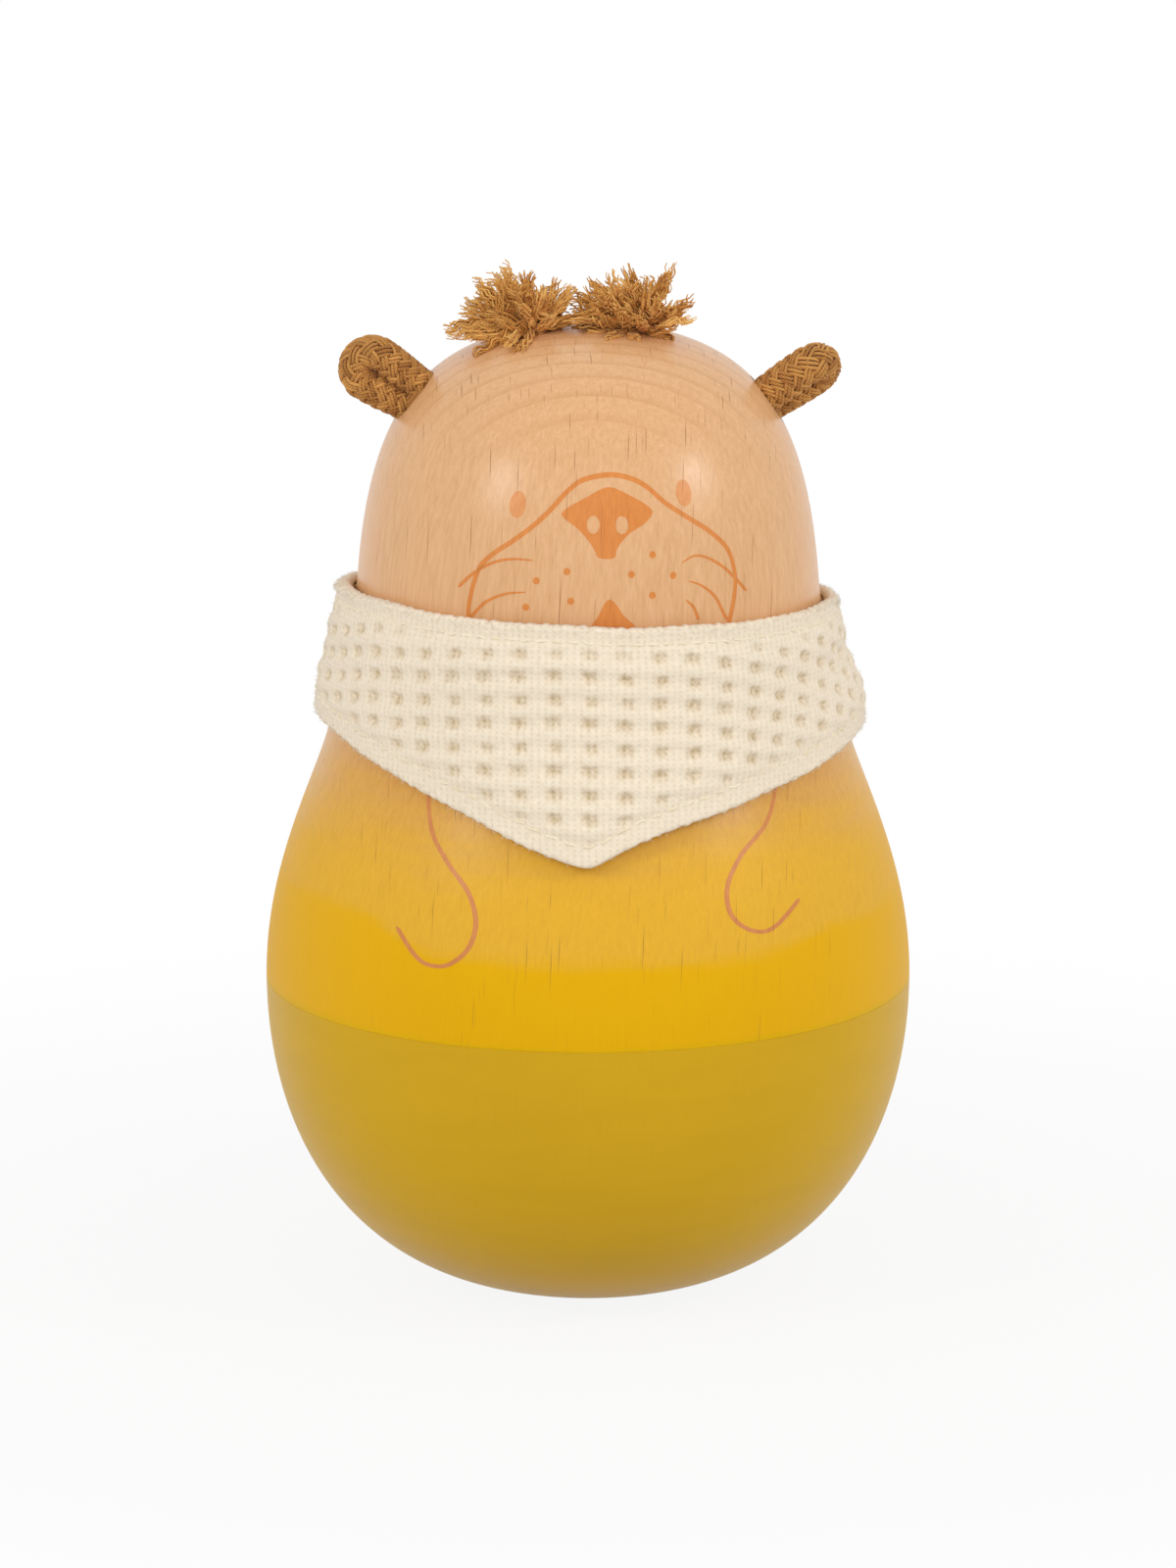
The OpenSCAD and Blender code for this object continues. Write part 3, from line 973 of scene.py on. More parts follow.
        slug_low, slug_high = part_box("ballast_weight")
        floor_z, step_z = slug_low.z / MM, slug_high.z / MM
        pocket_r = slug_high.x / MM + self.pocket_gap
        handle_r = self.foot_r + self.bowl_handles[0] * (self.belly_r - self.foot_r)
        bowl = bezier((self.foot_r, 0.0), (handle_r, 0.0), (self.belly_r, self.bowl_handles[1] * self.seam_z),
                      (self.belly_r, self.seam_z), self.bowl_steps)
        below = [p for p in bowl if p[1] < self.seam_z - clear]
        lip = [(self.belly_r, self.seam_z - self.seam_break), (broken_r, self.seam_z)]
        rebate_r, rebate_z = spigot_r + self.glue_gap, spigot_z - self.glue_gap
        bore = [(rebate_r, self.seam_z), (rebate_r, rebate_z), (hollow_r, rebate_z), (hollow_r, step_z),
                (pocket_r, step_z), (pocket_r, floor_z), (0.0, floor_z), (0.0, 0.0)]
        base = turned_piece("lower_bowl", [*below, *lip, *bore, below[0]], self.segments)
        place_piece(base, PAINTED_BEECH, Body.TOY, "painted_beech", "base_bowl")

    @staticmethod
    def drill(wood: Object, place: Matrix, diameter: float, depth: float) -> None:
        """Drills one round hole.

        Args:
            wood: The piece to drill.
            place: The hole's place on the wood and its outward direction along its own Z.
            diameter: The hole's diameter.
            depth: The hole's depth.
        """
        bit = add_primitive(bpy.ops.mesh.primitive_cylinder_add, "drill_bit", vertices=64,
                            radius=diameter / 2.0 * MM, depth=2.0 * depth * MM)
        placed = place.copy()
        placed.translation = place.translation * MM
        bit.data.transform(placed)
        apply_modifier(wood, "BOOLEAN", operation="DIFFERENCE", solver="EXACT", object=bit)
        bpy.data.objects.remove(bit)


@dataclass
class PrintedFace:
    """The printed face and arms: thin ink films on the wood. Points lie on the flattened face, in mm."""

    wood: WoodenBody
    centre_z: float = 98.0
    flat_r: float = 28.0
    film: float = 0.015
    # Steps of a line to each of its points, at least in all, and those of its round ends
    line_steps: int = 10
    least_steps: int = 24
    end_steps: float = 1.5
    muzzle_w: float = 0.6
    whisker_w: float = 0.44
    whisker_end: float = 0.35
    arm_w: float = 0.48
    freckle_size: Point = (0.85, 0.85)
    eyes: tuple[Point, ...] = ((-11.1, 4.6), (10.9, 5.7))
    eye_size: Point = (2.2, 3.1)
    nostrils: tuple[Point, ...] = ((-1.3, 2.5), (2.3, 2.4))
    nostril_size: Point = (1.6, 2.1)
    muzzle: tuple[Point, ...] = (
        (-15.6, -12.5), (-16.7, -9.3), (-16.6, -6.7), (-15.6, -3.2), (-13.8, -1.3), (-11.3, 0.4), (-8.8, 2.3),
        (-6.7, 4.2), (-4.9, 6.1), (-2.7, 7.6), (0.8, 8.2), (3.5, 7.8), (5.7, 6.8), (8.2, 4.7), (10.8, 3.0),
        (13.9, 1.0), (16.3, -1.3), (17.1, -3.9), (17.0, -6.3), (16.0, -9.7), (14.6, -12.5))
    nose: tuple[Point, ...] = (
        (0.7, 6.8), (3.7, 5.7), (5.9, 4.4), (6.3, 3.6), (5.2, 2.5), (3.1, 1.3), (1.7, -0.2), (1.2, -1.4),
        (-0.6, -1.4), (-1.1, -0.6), (-1.8, 0.5), (-3.2, 2.0), (-4.8, 3.1), (-5.3, 3.8), (-4.3, 4.6),
        (-2.3, 5.6))
    whiskers: tuple[tuple[Point, ...], ...] = (
        ((-18.4, -5.7), (-16.4, -3.9), (-14.1, -2.5), (-11.5, -1.8), (-8.6, -1.8)),
        ((-16.4, -9.1), (-14.6, -7.2), (-12.1, -6.0), (-9.4, -5.6)),
        ((18.8, -6.7), (17.5, -5.3), (15.7, -3.6), (13.5, -2.2), (11.5, -1.7), (9.7, -2.4)),
        ((15.6, -9.8), (15.1, -8.9), (14.0, -6.8), (12.2, -5.3), (10.5, -4.6)),
        ((11.6, -9.4), (11.0, -7.8), (10.0, -6.8)))
    freckles: tuple[Point, ...] = ((-4.5, -3.0), (-8.2, -4.2), (-4.0, -6.5), (-9.4, -7.4),
                                   (6.0, -1.2), (3.3, -3.4), (8.5, -3.8), (5.8, -6.0))
    mouth: tuple[Point, ...] = (
        (0.6, -6.3), (1.4, -6.9), (2.3, -8.3), (3.8, -9.9), (3.6, -12.0), (0.6, -12.8), (-2.0, -12.0),
        (-1.6, -9.6), (-0.7, -8.2), (0.0, -6.8))
    # The arms as angle from the middle of the face in degrees, and height
    left_arm: tuple[Point, ...] = ((-40.5, 70.0), (-39.1, 66.5), (-36.7, 63.3), (-32.2, 60.3), (-27.0, 57.2),
                                   (-24.8, 54.0), (-25.5, 51.1), (-28.2, 49.1), (-31.4, 48.3), (-35.5, 48.9),
                                   (-41.0, 52.2))
    right_arm: tuple[Point, ...] = ((41.5, 71.0), (39.0, 67.3), (34.7, 64.0), (27.8, 61.2), (23.5, 58.1),
                                    (22.7, 55.3), (24.3, 53.3), (28.1, 52.0), (32.1, 52.3), (38.9, 54.9))

    def on_wood(self, points: Array) -> Array:
        """Bends flat points onto the wood: X is the way round at the flat radius, Y is the height."""
        return self.wood.on_surface(points[:, 0] / self.flat_r, points[:, 1], self.film / 2.0)

    def film_piece(self, obj: Object) -> Object:
        """Gives a flat print its film of ink.

        Args:
            obj: The print.

        Returns:
            The same print as a thin solid.
        """
        apply_modifier(obj, "SOLIDIFY", thickness=self.film * MM, offset=0.0)
        close_mesh(obj, merge_mm=0.001)
        bpy.ops.object.shade_smooth_by_angle(angle=math.radians(FILM_EDGE))
        return obj

    def line(self, name: str, points: Sequence[Point], line_w: float, fine_end: float = 1.0) -> Object:
        """Prints a line with round ends.

        Args:
            name: The line's name.
            points: Points given along the line.
            line_w: Its width.
            fine_end: The share of its width that it keeps at its last point.

        Returns:
            The printed line.
        """
        count = max(self.least_steps, self.line_steps * len(points))
        middle = rounded_line(points, count)
        along = directions(middle)
        beside = np.stack([-along[:, 1], along[:, 0]], axis=1)
        share = np.linspace(0.0, 1.0, count + 1)
        from_end = np.minimum(share, 1.0 - share) * count
        round_end = np.sqrt(np.clip(from_end / self.end_steps, 0.05, 1.0))
        width = line_w / 2.0 * round_end * (1.0 - (1.0 - fine_end) * share**2)

        def place(u: Array, v: Array) -> Array:
            """Places points on both sides of the line."""
            i = np.rint(u * count).astype(int)
            return self.on_wood(middle[i] + beside[i] * (width[i] * (2.0 * v - 1.0))[:, None])

        return self.film_piece(shaped_grid(name, count, 2, place))

    def patch(self, name: str, edge: Array, rings: int = 5) -> Object:
        """Prints a filled patch inside a closed edge.

        Args:
            name: The patch's name.
            edge: Points of the edge, the first one again at the end.
            rings: How many rings of faces fill it.

        Returns:
            The printed patch.
        """
        spokes = len(edge) - 1
        centre = edge[:-1].mean(axis=0)

        def place(u: Array, v: Array) -> Array:
            """Places points from the middle of the patch to its edge."""
            i = np.rint(u * spokes).astype(int)
            return self.on_wood(centre + (edge[i] - centre) * v[:, None])

        obj = shaped_grid(name, spokes, rings, place)
        close_mesh(obj, merge_mm=0.002)
        return self.film_piece(obj)

    @staticmethod
    def oval(centre: Point, size: Point, points: int = 32) -> Array:
        """Gives the closed edge of an oval."""
        turn = np.linspace(0.0, math.tau, points + 1)
        return np.asarray(centre) + np.stack([np.cos(turn), np.sin(turn)], axis=1) * size / 2.0

    def build(self) -> None:
        """Prints the face, its eyes in paler ink as a painted highlight, its bare nostrils over the nose, and
        the two arms.
        """
        face = np.array((0.0, self.centre_z))
        films = [self.patch("nose", face + rounded_line(self.nose, 96, closed=True), rings=7),
                 self.patch("mouth", face + rounded_line(self.mouth, 56, closed=True)),
                 self.line("muzzle", face + self.muzzle, self.muzzle_w)]
        for spot in self.freckles:
            films.append(self.patch("freckle", self.oval(face + spot, self.freckle_size, 16), rings=2))
        for whisker in self.whiskers:
            films.append(self.line("whisker", face + whisker, self.whisker_w, self.whisker_end))
        eyes = [self.patch("eye", self.oval(face + spot, self.eye_size)) for spot in self.eyes]
        spots = [self.patch("nostril", self.oval(face + spot, self.nostril_size)) for spot in self.nostrils]
        for spot in spots:
            spot.data.transform(Matrix.Translation((0.0, -self.film * MM, 0.0)))
        for name, pieces, ink in (("printed_face", films, FACE_INK), ("printed_eyes", eyes, EYE_INK_HIGHLIGHT),
                                  ("printed_nostrils", spots, BARE_SPOT)):
            place_piece(join_pieces(name, pieces), ink, Body.TOY, "glazed_beech")
        for name, arm in (("printed_left_arm", self.left_arm), ("printed_right_arm", self.right_arm)):
            flat = [(math.radians(way) * self.flat_r, z) for way, z in arm]
            place_piece(self.line(name, flat, self.arm_w), ARM_INK, Body.TOY, "glazed_beech")


@dataclass
class BraidedEar:
    """One ear: a loop of braided cord with both legs glued in one hole. Sizes are in millimetres."""

    wood: WoodenBody
    side: Side
    turn: float
    ear_z: float
    reach: float = 10.2
    lift: float = 33.0
    bend_r: float = 2.1
    cord_d: float = 4.6
    # The two legs press on each other, so the cord is narrower across the loop than through it
    pressed: Point = (0.92, 1.08)
    root_half_w: float = 1.6
    root_squeeze: float = 0.95
    # From and to what height above the wood the cord is squeezed
    squeezed_z: Point = (-0.5, 3.0)
    hole_d: float = 7.2
    hole_depth: float = 9.0
    buried: float = 4.0
    # The domed plug of cord between the legs: where its dome starts and ends, its gap, and its tone, which is
    # darker than the braid's as painted shade in the hole
    dome_z: Point = (-1.6, 0.7)
    dome_fall: float = 0.85
    plug_gap: float = 0.1
    plug_shade_tone: float = 0.2
    carriers: int = 8
    yarns: int = 3
    yarn_d: float = 0.42
    yarn_pack: float = 0.92
    weave_rise: float = 0.32
    weave_flat: float = 1.35
    # By chance: how light a carrier is, how its yarns differ from it, and how thick they are
    tones: Point = (0.3, 0.7)
    tone_spread: float = 0.22
    yarn_spread: Point = (0.92, 1.08)
    seed: int = 5
    steps: int = 96

    def place(self) -> Matrix:
        """Finds the hole on the head.

        Returns:
            Its place, with its outward direction along Z.
        """
        sign = self.side.value
        at = Matrix.Translation((sign * float(self.wood.radius(self.ear_z)), 0.0, self.ear_z))
        return at @ Matrix.Rotation(sign * math.radians(90.0 - self.lift), 4, "Y")

    def seated(self, path: Array) -> Array:
        """Moves a path from the ear's own frame to its place on the head."""
        seat = np.array(self.place() @ Matrix.Rotation(math.radians(self.turn), 4, "Z"))
        return path @ seat[:3, :3].T + seat[:3, 3]

    def centre_line(self) -> Array:
        """Draws the loop in its own plane.

        Returns:
            Points up one leg, round the bend and down the other leg.
        """
        bend_z = self.reach - self.bend_r - self.cord_d / 2.0
        rise = np.linspace(-self.buried, bend_z, 24)
        spread = smooth_step(self.squeezed_z[0], bend_z, rise)
        half_w = self.root_half_w + (self.bend_r - self.root_half_w) * spread
        arc = np.linspace(math.pi, 0.0, 24)[1:-1]
        leg = np.stack([half_w, 0.0 * rise, rise], axis=1)
        bend = np.stack([self.bend_r * np.cos(arc), 0.0 * arc, bend_z + self.bend_r * np.sin(arc)], axis=1)
        return evenly_spaced(np.vstack([leg * (-1.0, 1.0, 1.0), bend, leg[::-1]]), self.steps)

    def build(self) -> None:
        """Braids the yarns round a core coloured dark as painted shade, whose ends are squeezed flat and fill
        the hole.
        """
        line = self.centre_line()
        flat = np.array((0.0, 1.0, 0.0))
        out = np.cross(flat, directions(line))
        gone = distances(line)
        squeeze = self.root_squeeze + (1.0 - self.root_squeeze) * smooth_step(*self.squeezed_z, line[:, 2])
        radius = self.cord_d / 2.0 - self.weave_rise - self.yarn_d / 2.0
        turns = gone / (math.tau * radius)
        yarn_angle = self.yarn_pack * self.yarn_d / (radius * math.cos(math.pi / 4.0))
        chance = random.Random(self.seed + self.side.value)
        strands = []
        for direction in (1, -1):
            for carrier in range(self.carriers):
                crossing = direction * (2 * carrier + 2 * self.carriers * turns)
                weave = self.weave_flat * np.sin(math.pi * (crossing + 0.5) / 2.0)
                over = direction * np.clip(weave, -1.0, 1.0)
                r = ((radius + self.weave_rise * over) * squeeze)[:, None]
                tone = chance.uniform(*self.tones)
                for yarn in range(self.yarns):
                    angle = direction * math.tau * (turns + carrier / self.carriers)
                    angle = angle + (yarn - (self.yarns - 1) / 2.0) * yarn_angle
                    across = out * (self.pressed[0] * np.cos(angle))[:, None]
                    path = line + (across + flat * (self.pressed[1] * np.sin(angle))[:, None]) * r
                    thick = np.full(len(path), self.yarn_d / 2.0) * chance.uniform(*self.yarn_spread)
                    shade = tone + chance.uniform(-self.tone_spread, self.tone_spread)
                    strands.append(Strand(self.seated(path), thick, shade))
        rise = np.linspace(-self.buried, self.dome_z[1], 14)
        dome = np.sqrt(1.0 - self.dome_fall * smooth_step(*self.dome_z, rise) ** 2)
        plug_r = self.hole_d / 2.0 - self.plug_gap
        strands.append(Strand(self.seated(rise[:, None] * (0.0, 0.0, 1.0)), plug_r * dome, self.plug_shade_tone))
        core = Strand(self.seated(line), (radius - self.weave_rise) * squeeze, 0.5)
        name = self.side.name.lower()
        cover = strand_bundle(f"{name}_ear_braid", strands, 8)
        place_piece(cover, EAR_YARN, Body.TOY, "braided_cord", f"{name}_ear")
        place_piece(strand_bundle(f"{name}_ear_core", [core], 16), EAR_CORE_SHADE, Body.TOY, "braided_cord")


@dataclass
class FrayedTuft:
    """One tuft of hair: the frayed end of a cord in its hole in the crown. Sizes are in millimetres."""

    wood: WoodenBody
    side: Side
    lean: Triple
    seed: int
    place_x: float = 6.7
    hole_d: float = 4.7
    hole_depth: float = 8.0
    buried: float = 1.5
    root_share: float = 0.3
    # How many clumps there are of each kind, from what length to what length, and how much they wander
    kinds: tuple[tuple[int, float, float, float], ...] = ((36, 5.4, 8.2, 0.1), (44, 3.8, 6.4, 0.7))
    fan: float = 1.05
    stray: float = 0.12
    least_rise: float = 0.16
    side_reach: float = 2.4
    fibres: int = 14
    fibre_d: Point = (0.2, 0.32)
    fibre_lengths: Point = (0.82, 1.06)
    fibre_taper: float = 0.4
    clump_d: float = 1.5
    # How close the fibres of a clump lie at its root, and how much they part towards its end
    parting: Point = (0.45, 0.6)
    crimp_mm: float = 2.3
    crimp_rise: float = 0.32
    # The ripple of a single fibre as its rise and its turn in radians a millimetre
    ripple: Point = (0.08, 3.0)
    sag: float = 0.012
    # By chance: how light a clump is, how its fibres differ from it, and how long its crimp is
    tones: Point = (0.25, 0.75)
    tone_spread: float = 0.3
    crimp_spread: Point = (0.8, 1.3)
    steps: int = 17

    def place(self) -> Matrix:
        """Gives the hole's place on the crown."""
        z = float(self.wood.height(self.place_x))
        return Matrix.Translation((self.side.value * self.place_x, 0.0, z))

    def build(self) -> None:
        """Grows the clumps out of the hole: long ones that fan out evenly, short curled ones between them."""
        chance = random.Random(self.seed)
        golden = math.pi * (3.0 - math.sqrt(5.0))
        strands = []
        for count, shortest, longest, bend in self.kinds:
            for k in range(count):
                up = 1.0 - self.fan * (k + 0.5) / count
                level = math.sqrt(max(0.0, 1.0 - up * up))
                way = np.array(self.lean) + (level * math.cos(k * golden), level * math.sin(k * golden), up)
                way = way + [chance.gauss(0.0, self.stray) for _ in range(3)]
                strands.extend(self.clump(chance, way, chance.uniform(shortest, longest), bend))
        name = self.side.name.lower()
        place_piece(strand_bundle(f"{name}_hair_fibres", strands, 4), HAIR_YARN, Body.TOY, "frayed_cord",
                    f"{name}_hair_tuft")

    def route(self, chance: random.Random, way: Array, length: float, bend: float) -> Array:
        """Gives the even steps of a clump's middle: up out of the hole, and then along its wandering way.

        Args:
            chance: The source of chance.
            way: The unit direction in which it leaves the hole.
            length: Its whole length.
            bend: How much it wanders.

        Returns:
            The points, one row each.
        """
        off = self.root_share * self.hole_d
        point = np.array(self.place().translation) + (off * way[0], off * way[1], -self.buried)
        step = length / self.steps
        line = []
        for i in range(self.steps + 1):
            line.append(point)
            heading = np.array((0.0, 0.0, 1.0)) if i * step < self.buried else way / np.linalg.norm(way)
            point = point + heading * step
            stray = [chance.gauss(0.0, bend * math.sqrt(step)) for _ in range(3)]
            way = way + stray - (0.0, 0.0, self.sag * step)
        return np.array(line)

    def clump(self, chance: random.Random, way: Array, length: float, bend: float) -> list[Strand]:
        """Grows one clump of crimped fibres, which part towards its end.

        Args:
            chance: The source of chance.
            way: The direction in which it leaves the hole.
            length: Its length above the wood.
            bend: How much it wanders.

        Returns:
            The fibres, which stay above the wood.
        """
        way[2] = max(way[2], self.least_rise)
        way /= np.linalg.norm(way)
        whole = length + self.side_reach * abs(way[0]) + self.buried
        line = self.route(chance, way, whole, bend)
        gone = np.linspace(0.0, whole, self.steps + 1)
        share = gone / whole
        sides = tube_rings(line, np.ones(len(line)), 4)[:, :2] - line[:, None]
        tone = chance.uniform(*self.tones)
        turned, phase = chance.uniform(0.0, math.tau), chance.uniform(0.0, math.tau)
        crimp = np.sin(math.tau * gone / (self.crimp_mm * chance.uniform(*self.crimp_spread)) + phase)
        crimp = self.crimp_rise * smooth_step(self.buried, 2.0 * self.buried, gone) * crimp
        fibres = []
        for _ in range(self.fibres):
            around = chance.uniform(0.0, math.tau)
            parted = self.parting[0] + self.parting[1] * share**2
            aside = self.clump_d / 2.0 * math.sqrt(chance.random()) * parted
            ripple = crimp + self.ripple[0] * np.sin(self.ripple[1] * gone + chance.uniform(0.0, math.tau))
            across = (aside * math.cos(around) + ripple * math.cos(turned))[:, None] * sides[:, 0]
            beside = (aside * math.sin(around) + ripple * math.sin(turned))[:, None] * sides[:, 1]
            path = line[:1] + (line - line[:1]) * chance.uniform(*self.fibre_lengths) + across + beside
            taper = 1.0 - self.fibre_taper * smooth_step(0.7, 1.0, share)
            radii = chance.uniform(*self.fibre_d) / 2.0 * taper
            floor = self.wood.height(np.hypot(path[:, 0], path[:, 1])) + radii
            path[:, 2] = np.where(gone > 2.0 * self.buried, np.maximum(path[:, 2], floor), path[:, 2])
            shade = tone + chance.uniform(-self.tone_spread, self.tone_spread)
            fibres.append(Strand(path, radii, min(1.0, max(0.0, shade))))
        return fibres


@dataclass
class Bandana:
    """The two-layer bandana ring with its point in front. Sizes are in millimetres, angles in degrees."""

    wood: WoodenBody
    top_z: float = 88.75
    nape_fall: float = 4.0
    low_z: float = 74.5
    tip_z: float = 60.8
    point_spread: float = 50.0
    point_round: float = 1.5
    # How far the point is drawn up on one side, how soon and over what angle
    point_skew: Triple = (0.9, 8.0, 28.0)
    tilt: float = 1.8
    turn: float = -3.6
    top_sways: tuple[Sway, ...] = ((0.18, 3, (5, 9, 14)), (0.12, 5, (88, 121, 167)))
    low_sways: tuple[Sway, ...] = ((0.15, 4, (6, 11, 17)), (0.13, 6, (92, 131, 173)))
    cloth_sways: tuple[Sway, ...] = ((0.2, 8, (4, 7, 13)),)
    # The lower edge is straight at the point: from and to what angle its sways begin
    sway_start: Point = (2.0, 12.0)
    lining_gap: float = 0.3
    lining_t: float = 0.8
    lining_inset: float = 1.2
    lining_square: float = 2.2
    lining_fields: tuple[int, int] = (240, 40)
    lining_map: float = 40.0
    face_in: float = 1.4
    face_out: float = 2.1
    roll_r: float = 0.65
    roll_in: float = 0.42
    roll_ease: float = 0.5
    # The cloth fills out away from its edges: by how much, and from and to what distance
    pillow: Triple = (0.8, 0.8, 5.5)
    columns: int = 720
    outer_rows: int = 110
    inner_rows: int = 18
    # How much closer the rows of the mesh lie at the edges
    row_crowd: float = 0.035
    cell_mm: Point = (4.2, 2.75)
    first_row: float = 3.15
    # The rows fall towards the sides, a little more on one of them
    row_fall: float = 9.0
    row_skew: float = 0.3
    row_wave: float = 0.11
    # On one side the columns lean: by how much, about what height, and from and to what angle
    column_lean: tuple[float, ...] = (0.2, 79.0, 25.0, 50.0)
    dimple_mm: Point = (1.75, 1.25)
    dimple_depth: float = 0.6
    dimple_power: float = 3.2
    # By chance a hollow lies aside, lies lower, is larger and is shallower, each at most by this much
    dimple_chance: tuple[float, ...] = (0.25, 0.12, 0.1, 0.25)
    # Each fold as its height, its Z and spread, its angle from the point and spread
    folds: tuple[tuple[float, ...], ...] = ((0.9, 74.2, 3.2, 82.0, 24.0), (-0.6, 80.8, 2.0, 82.0, 24.0),
                                            (0.6, 90.0, 2.6, -85.0, 25.0), (0.7, 75.2, 3.6, -85.0, 25.0))
    low_hem: float = 2.6
    top_hem: float = 1.95
    # From and to what distance beyond a hem the waffle begins
    low_ease: Point = (-0.4, 1.8)
    top_ease: Point = (-0.3, 2.2)
    hem_groove: Point = (0.1, 0.5)
    stitch_mm: float = 2.1
    stitch_d: float = 0.25
    stitch_share: float = 0.84
    stitch_sunk: float = 0.3
    stitch_rise: float = 0.32
    # Where in its pitch a stitch starts, and how far it strays along and across the row
    stitch_start: float = 0.08
    stitch_stray: Point = (0.03, 0.06)
    stitch_tones: Point = (0.3, 0.9)
    stitch_seed: int = 21
    seam_half: float = 4.5
    seam_ease: float = 0.8
    seam_stitch: float = 1.3
    seam_rise: float = 0.55
    flat_r: float = 33.4
    nap_fibres: int = 4200
    nap_mm: Point = (0.2, 0.55)
    nap_d: float = 0.06
    nap_root: float = 0.12
    nap_taper: float = 0.5
    # How far from an edge its fibres stand: their spread and the least distance
    nap_band: Point = (0.5, 0.05)
    # How a fibre strays up and aside, and the shares of its length that it stands out and rises
    nap_stray: Point = (0.5, 0.6)
    nap_out: Point = (0.3, 0.5)
    nap_rise: float = 0.7
    # The powers by which it bends aside and up
    nap_bends: Point = (1.5, 1.3)
    nap_seed: int = 37

    def fall(self, way: Array) -> Array:
        """Gives how far the tilt lowers the ring at an angle."""
        return self.wood.radius(self.top_z) * np.sin(way) * math.tan(math.radians(self.tilt))

    def top(self, way: Array) -> Array:
        """Gives the height of the top edge at an angle from the point, between -pi and pi."""
        nape = self.nape_fall * ((1.0 - np.cos(way)) / 2.0) ** 2
        return self.top_z - nape - self.fall(way) + wander(way, self.top_sways)

    def low(self, way: Array) -> Array:
        """Draws the lower edge with its blunt point, which is drawn up on one side.

        Args:
            way: Angles from the point.

        Returns:
            The edge's heights.
        """
        aside = np.degrees(np.abs(way))
        blunt = np.hypot(aside, self.point_round) - self.point_round
        run = (1.0 - np.exp(-blunt / self.point_spread)) / (1.0 - math.exp(-180.0 / self.point_spread))
        rise, soon, over = self.point_skew
        skew = rise * np.tanh(np.degrees(way) / soon) * np.exp(-(aside / over) ** 2)
        return (self.tip_z + (self.low_z - self.tip_z) * run + skew - self.fall(way)
                + wander(way, self.low_sways) * smooth_step(*self.sway_start, aside))

    def margins(self, way: Array, z: Array) -> tuple[Array, Array]:
        """Gives how far points lie below the top edge and above the lower edge."""
        return self.top(way) - z, z - self.low(way)

    def seam(self, way: Array) -> Array:
        """Gives how much of the overlap at the nape lies at an angle, from 0 to 1."""
        from_nape = 180.0 - np.degrees(np.abs(way))
        return 1.0 - smooth_step(self.seam_half - self.seam_ease, self.seam_half, from_nape)

    def arc(self, way: Array, z: Array) -> Array:
        """Gives the way along the cloth from its point, in millimetres."""
        return way * (self.wood.radius(z) + self.face_out)

    def placed(self, way: Array, z: Array, off: Array) -> Array:
        """Places points of the cloth by angle from its point, height and distance off the wood."""
        return self.wood.on_surface(way + math.radians(self.turn), z, off)

    def row(self, way: Array, z: Array) -> Array:
        """Gives the number of the waffle row, which is whole in the middle of a row."""
        fall = self.row_fall * np.minimum(1.0 - np.cos(way), 1.0) * (1.0 + self.row_skew * np.sin(way))
        return (self.top(way) - z - self.first_row - fall) / self.cell_mm[1]

    def within(self, way: Array, z: Array) -> Array:
        """Fades the waffle out towards the hems and the overlap.

        Args:
            way: Angles from the point.
            z: Heights.

        Returns:
            1 on the waffle and 0 on the hems and the overlap.
        """
        (top_in, top_out), (low_in, low_out) = self.top_ease, self.low_ease
        below, above = self.margins(way, z)
        return (smooth_step(self.top_hem + top_in, self.top_hem + top_out, below)
                * smooth_step(self.low_hem + low_in, self.low_hem + low_out, above) * (1.0 - self.seam(way)))

    def dimples(self, way: Array, z: Array) -> Array:
        """Presses the waffle's hollows, each a little different by chance.

        Args:
            way: Angles from the point.
            z: Heights.

        Returns:
            The depth, from 0 to 1.
        """
        lean, middle_z, start, end = self.column_lean
        pull = lean * (z - middle_z) * smooth_step(start, end, np.degrees(way))
        column = (self.arc(way, z) - pull) / self.cell_mm[0]
        row = self.row(way, z)
        # Every point of a cell gets the same chance, made of its column and its row
        chance = np.modf(np.sin(np.rint(column) * 12.9898 + np.rint(row) * 78.233) * 43758.5453)[0]
        aside, lower, larger, shallower = self.dimple_chance
        across = (column - np.rint(column)) * self.cell_mm[0] + aside * chance
        along = (row - np.rint(row)) * self.cell_mm[1] + lower * chance
        wide, tall = (size / 2.0 * (1.0 + larger * chance) for size in self.dimple_mm)
        sides, ends = (np.abs(gap) ** self.dimple_power for gap in (across / wide, along / tall))
        return np.exp(-sides - ends) * self.within(way, z) * (1.0 - shallower * np.abs(chance))

    def outside(self, way: Array, z: Array) -> Array:
        """Shapes the outer side of the cloth: full in the middle, with hems, rows, folds and hollows.

        Args:
            way: Angles from the point.
            z: Heights.

        Returns:
            How far it stands off the wood.
        """
        below, above = self.margins(way, z)
        rise, start, end = self.pillow
        off = self.face_out + rise * smooth_step(start, end, np.minimum(below, above))
        depth, half = self.hem_groove
        for hem in (above - self.low_hem, below - self.top_hem):
            off = off - depth * np.exp(-((hem / half) ** 2))
        off = off - self.row_wave * np.cos(math.tau * self.row(way, z)) * self.within(way, z)
        for rise, fold_z, spread_z, fold_way, spread_way in self.folds:
            off = off + rise * (np.exp(-((z - fold_z) / spread_z) ** 2)
                                * np.exp(-((np.degrees(way) - fold_way) / spread_way) ** 2))
        return (off + wander(way, self.cloth_sways) + self.seam_rise * self.seam(way)
                - self.dimple_depth * self.dimples(way, z))

    @property
    def middle(self) -> float:
        """Gives how far the middle of the rolled edges stands off the wood."""
        return (self.face_out + self.roll_in) / 2.0

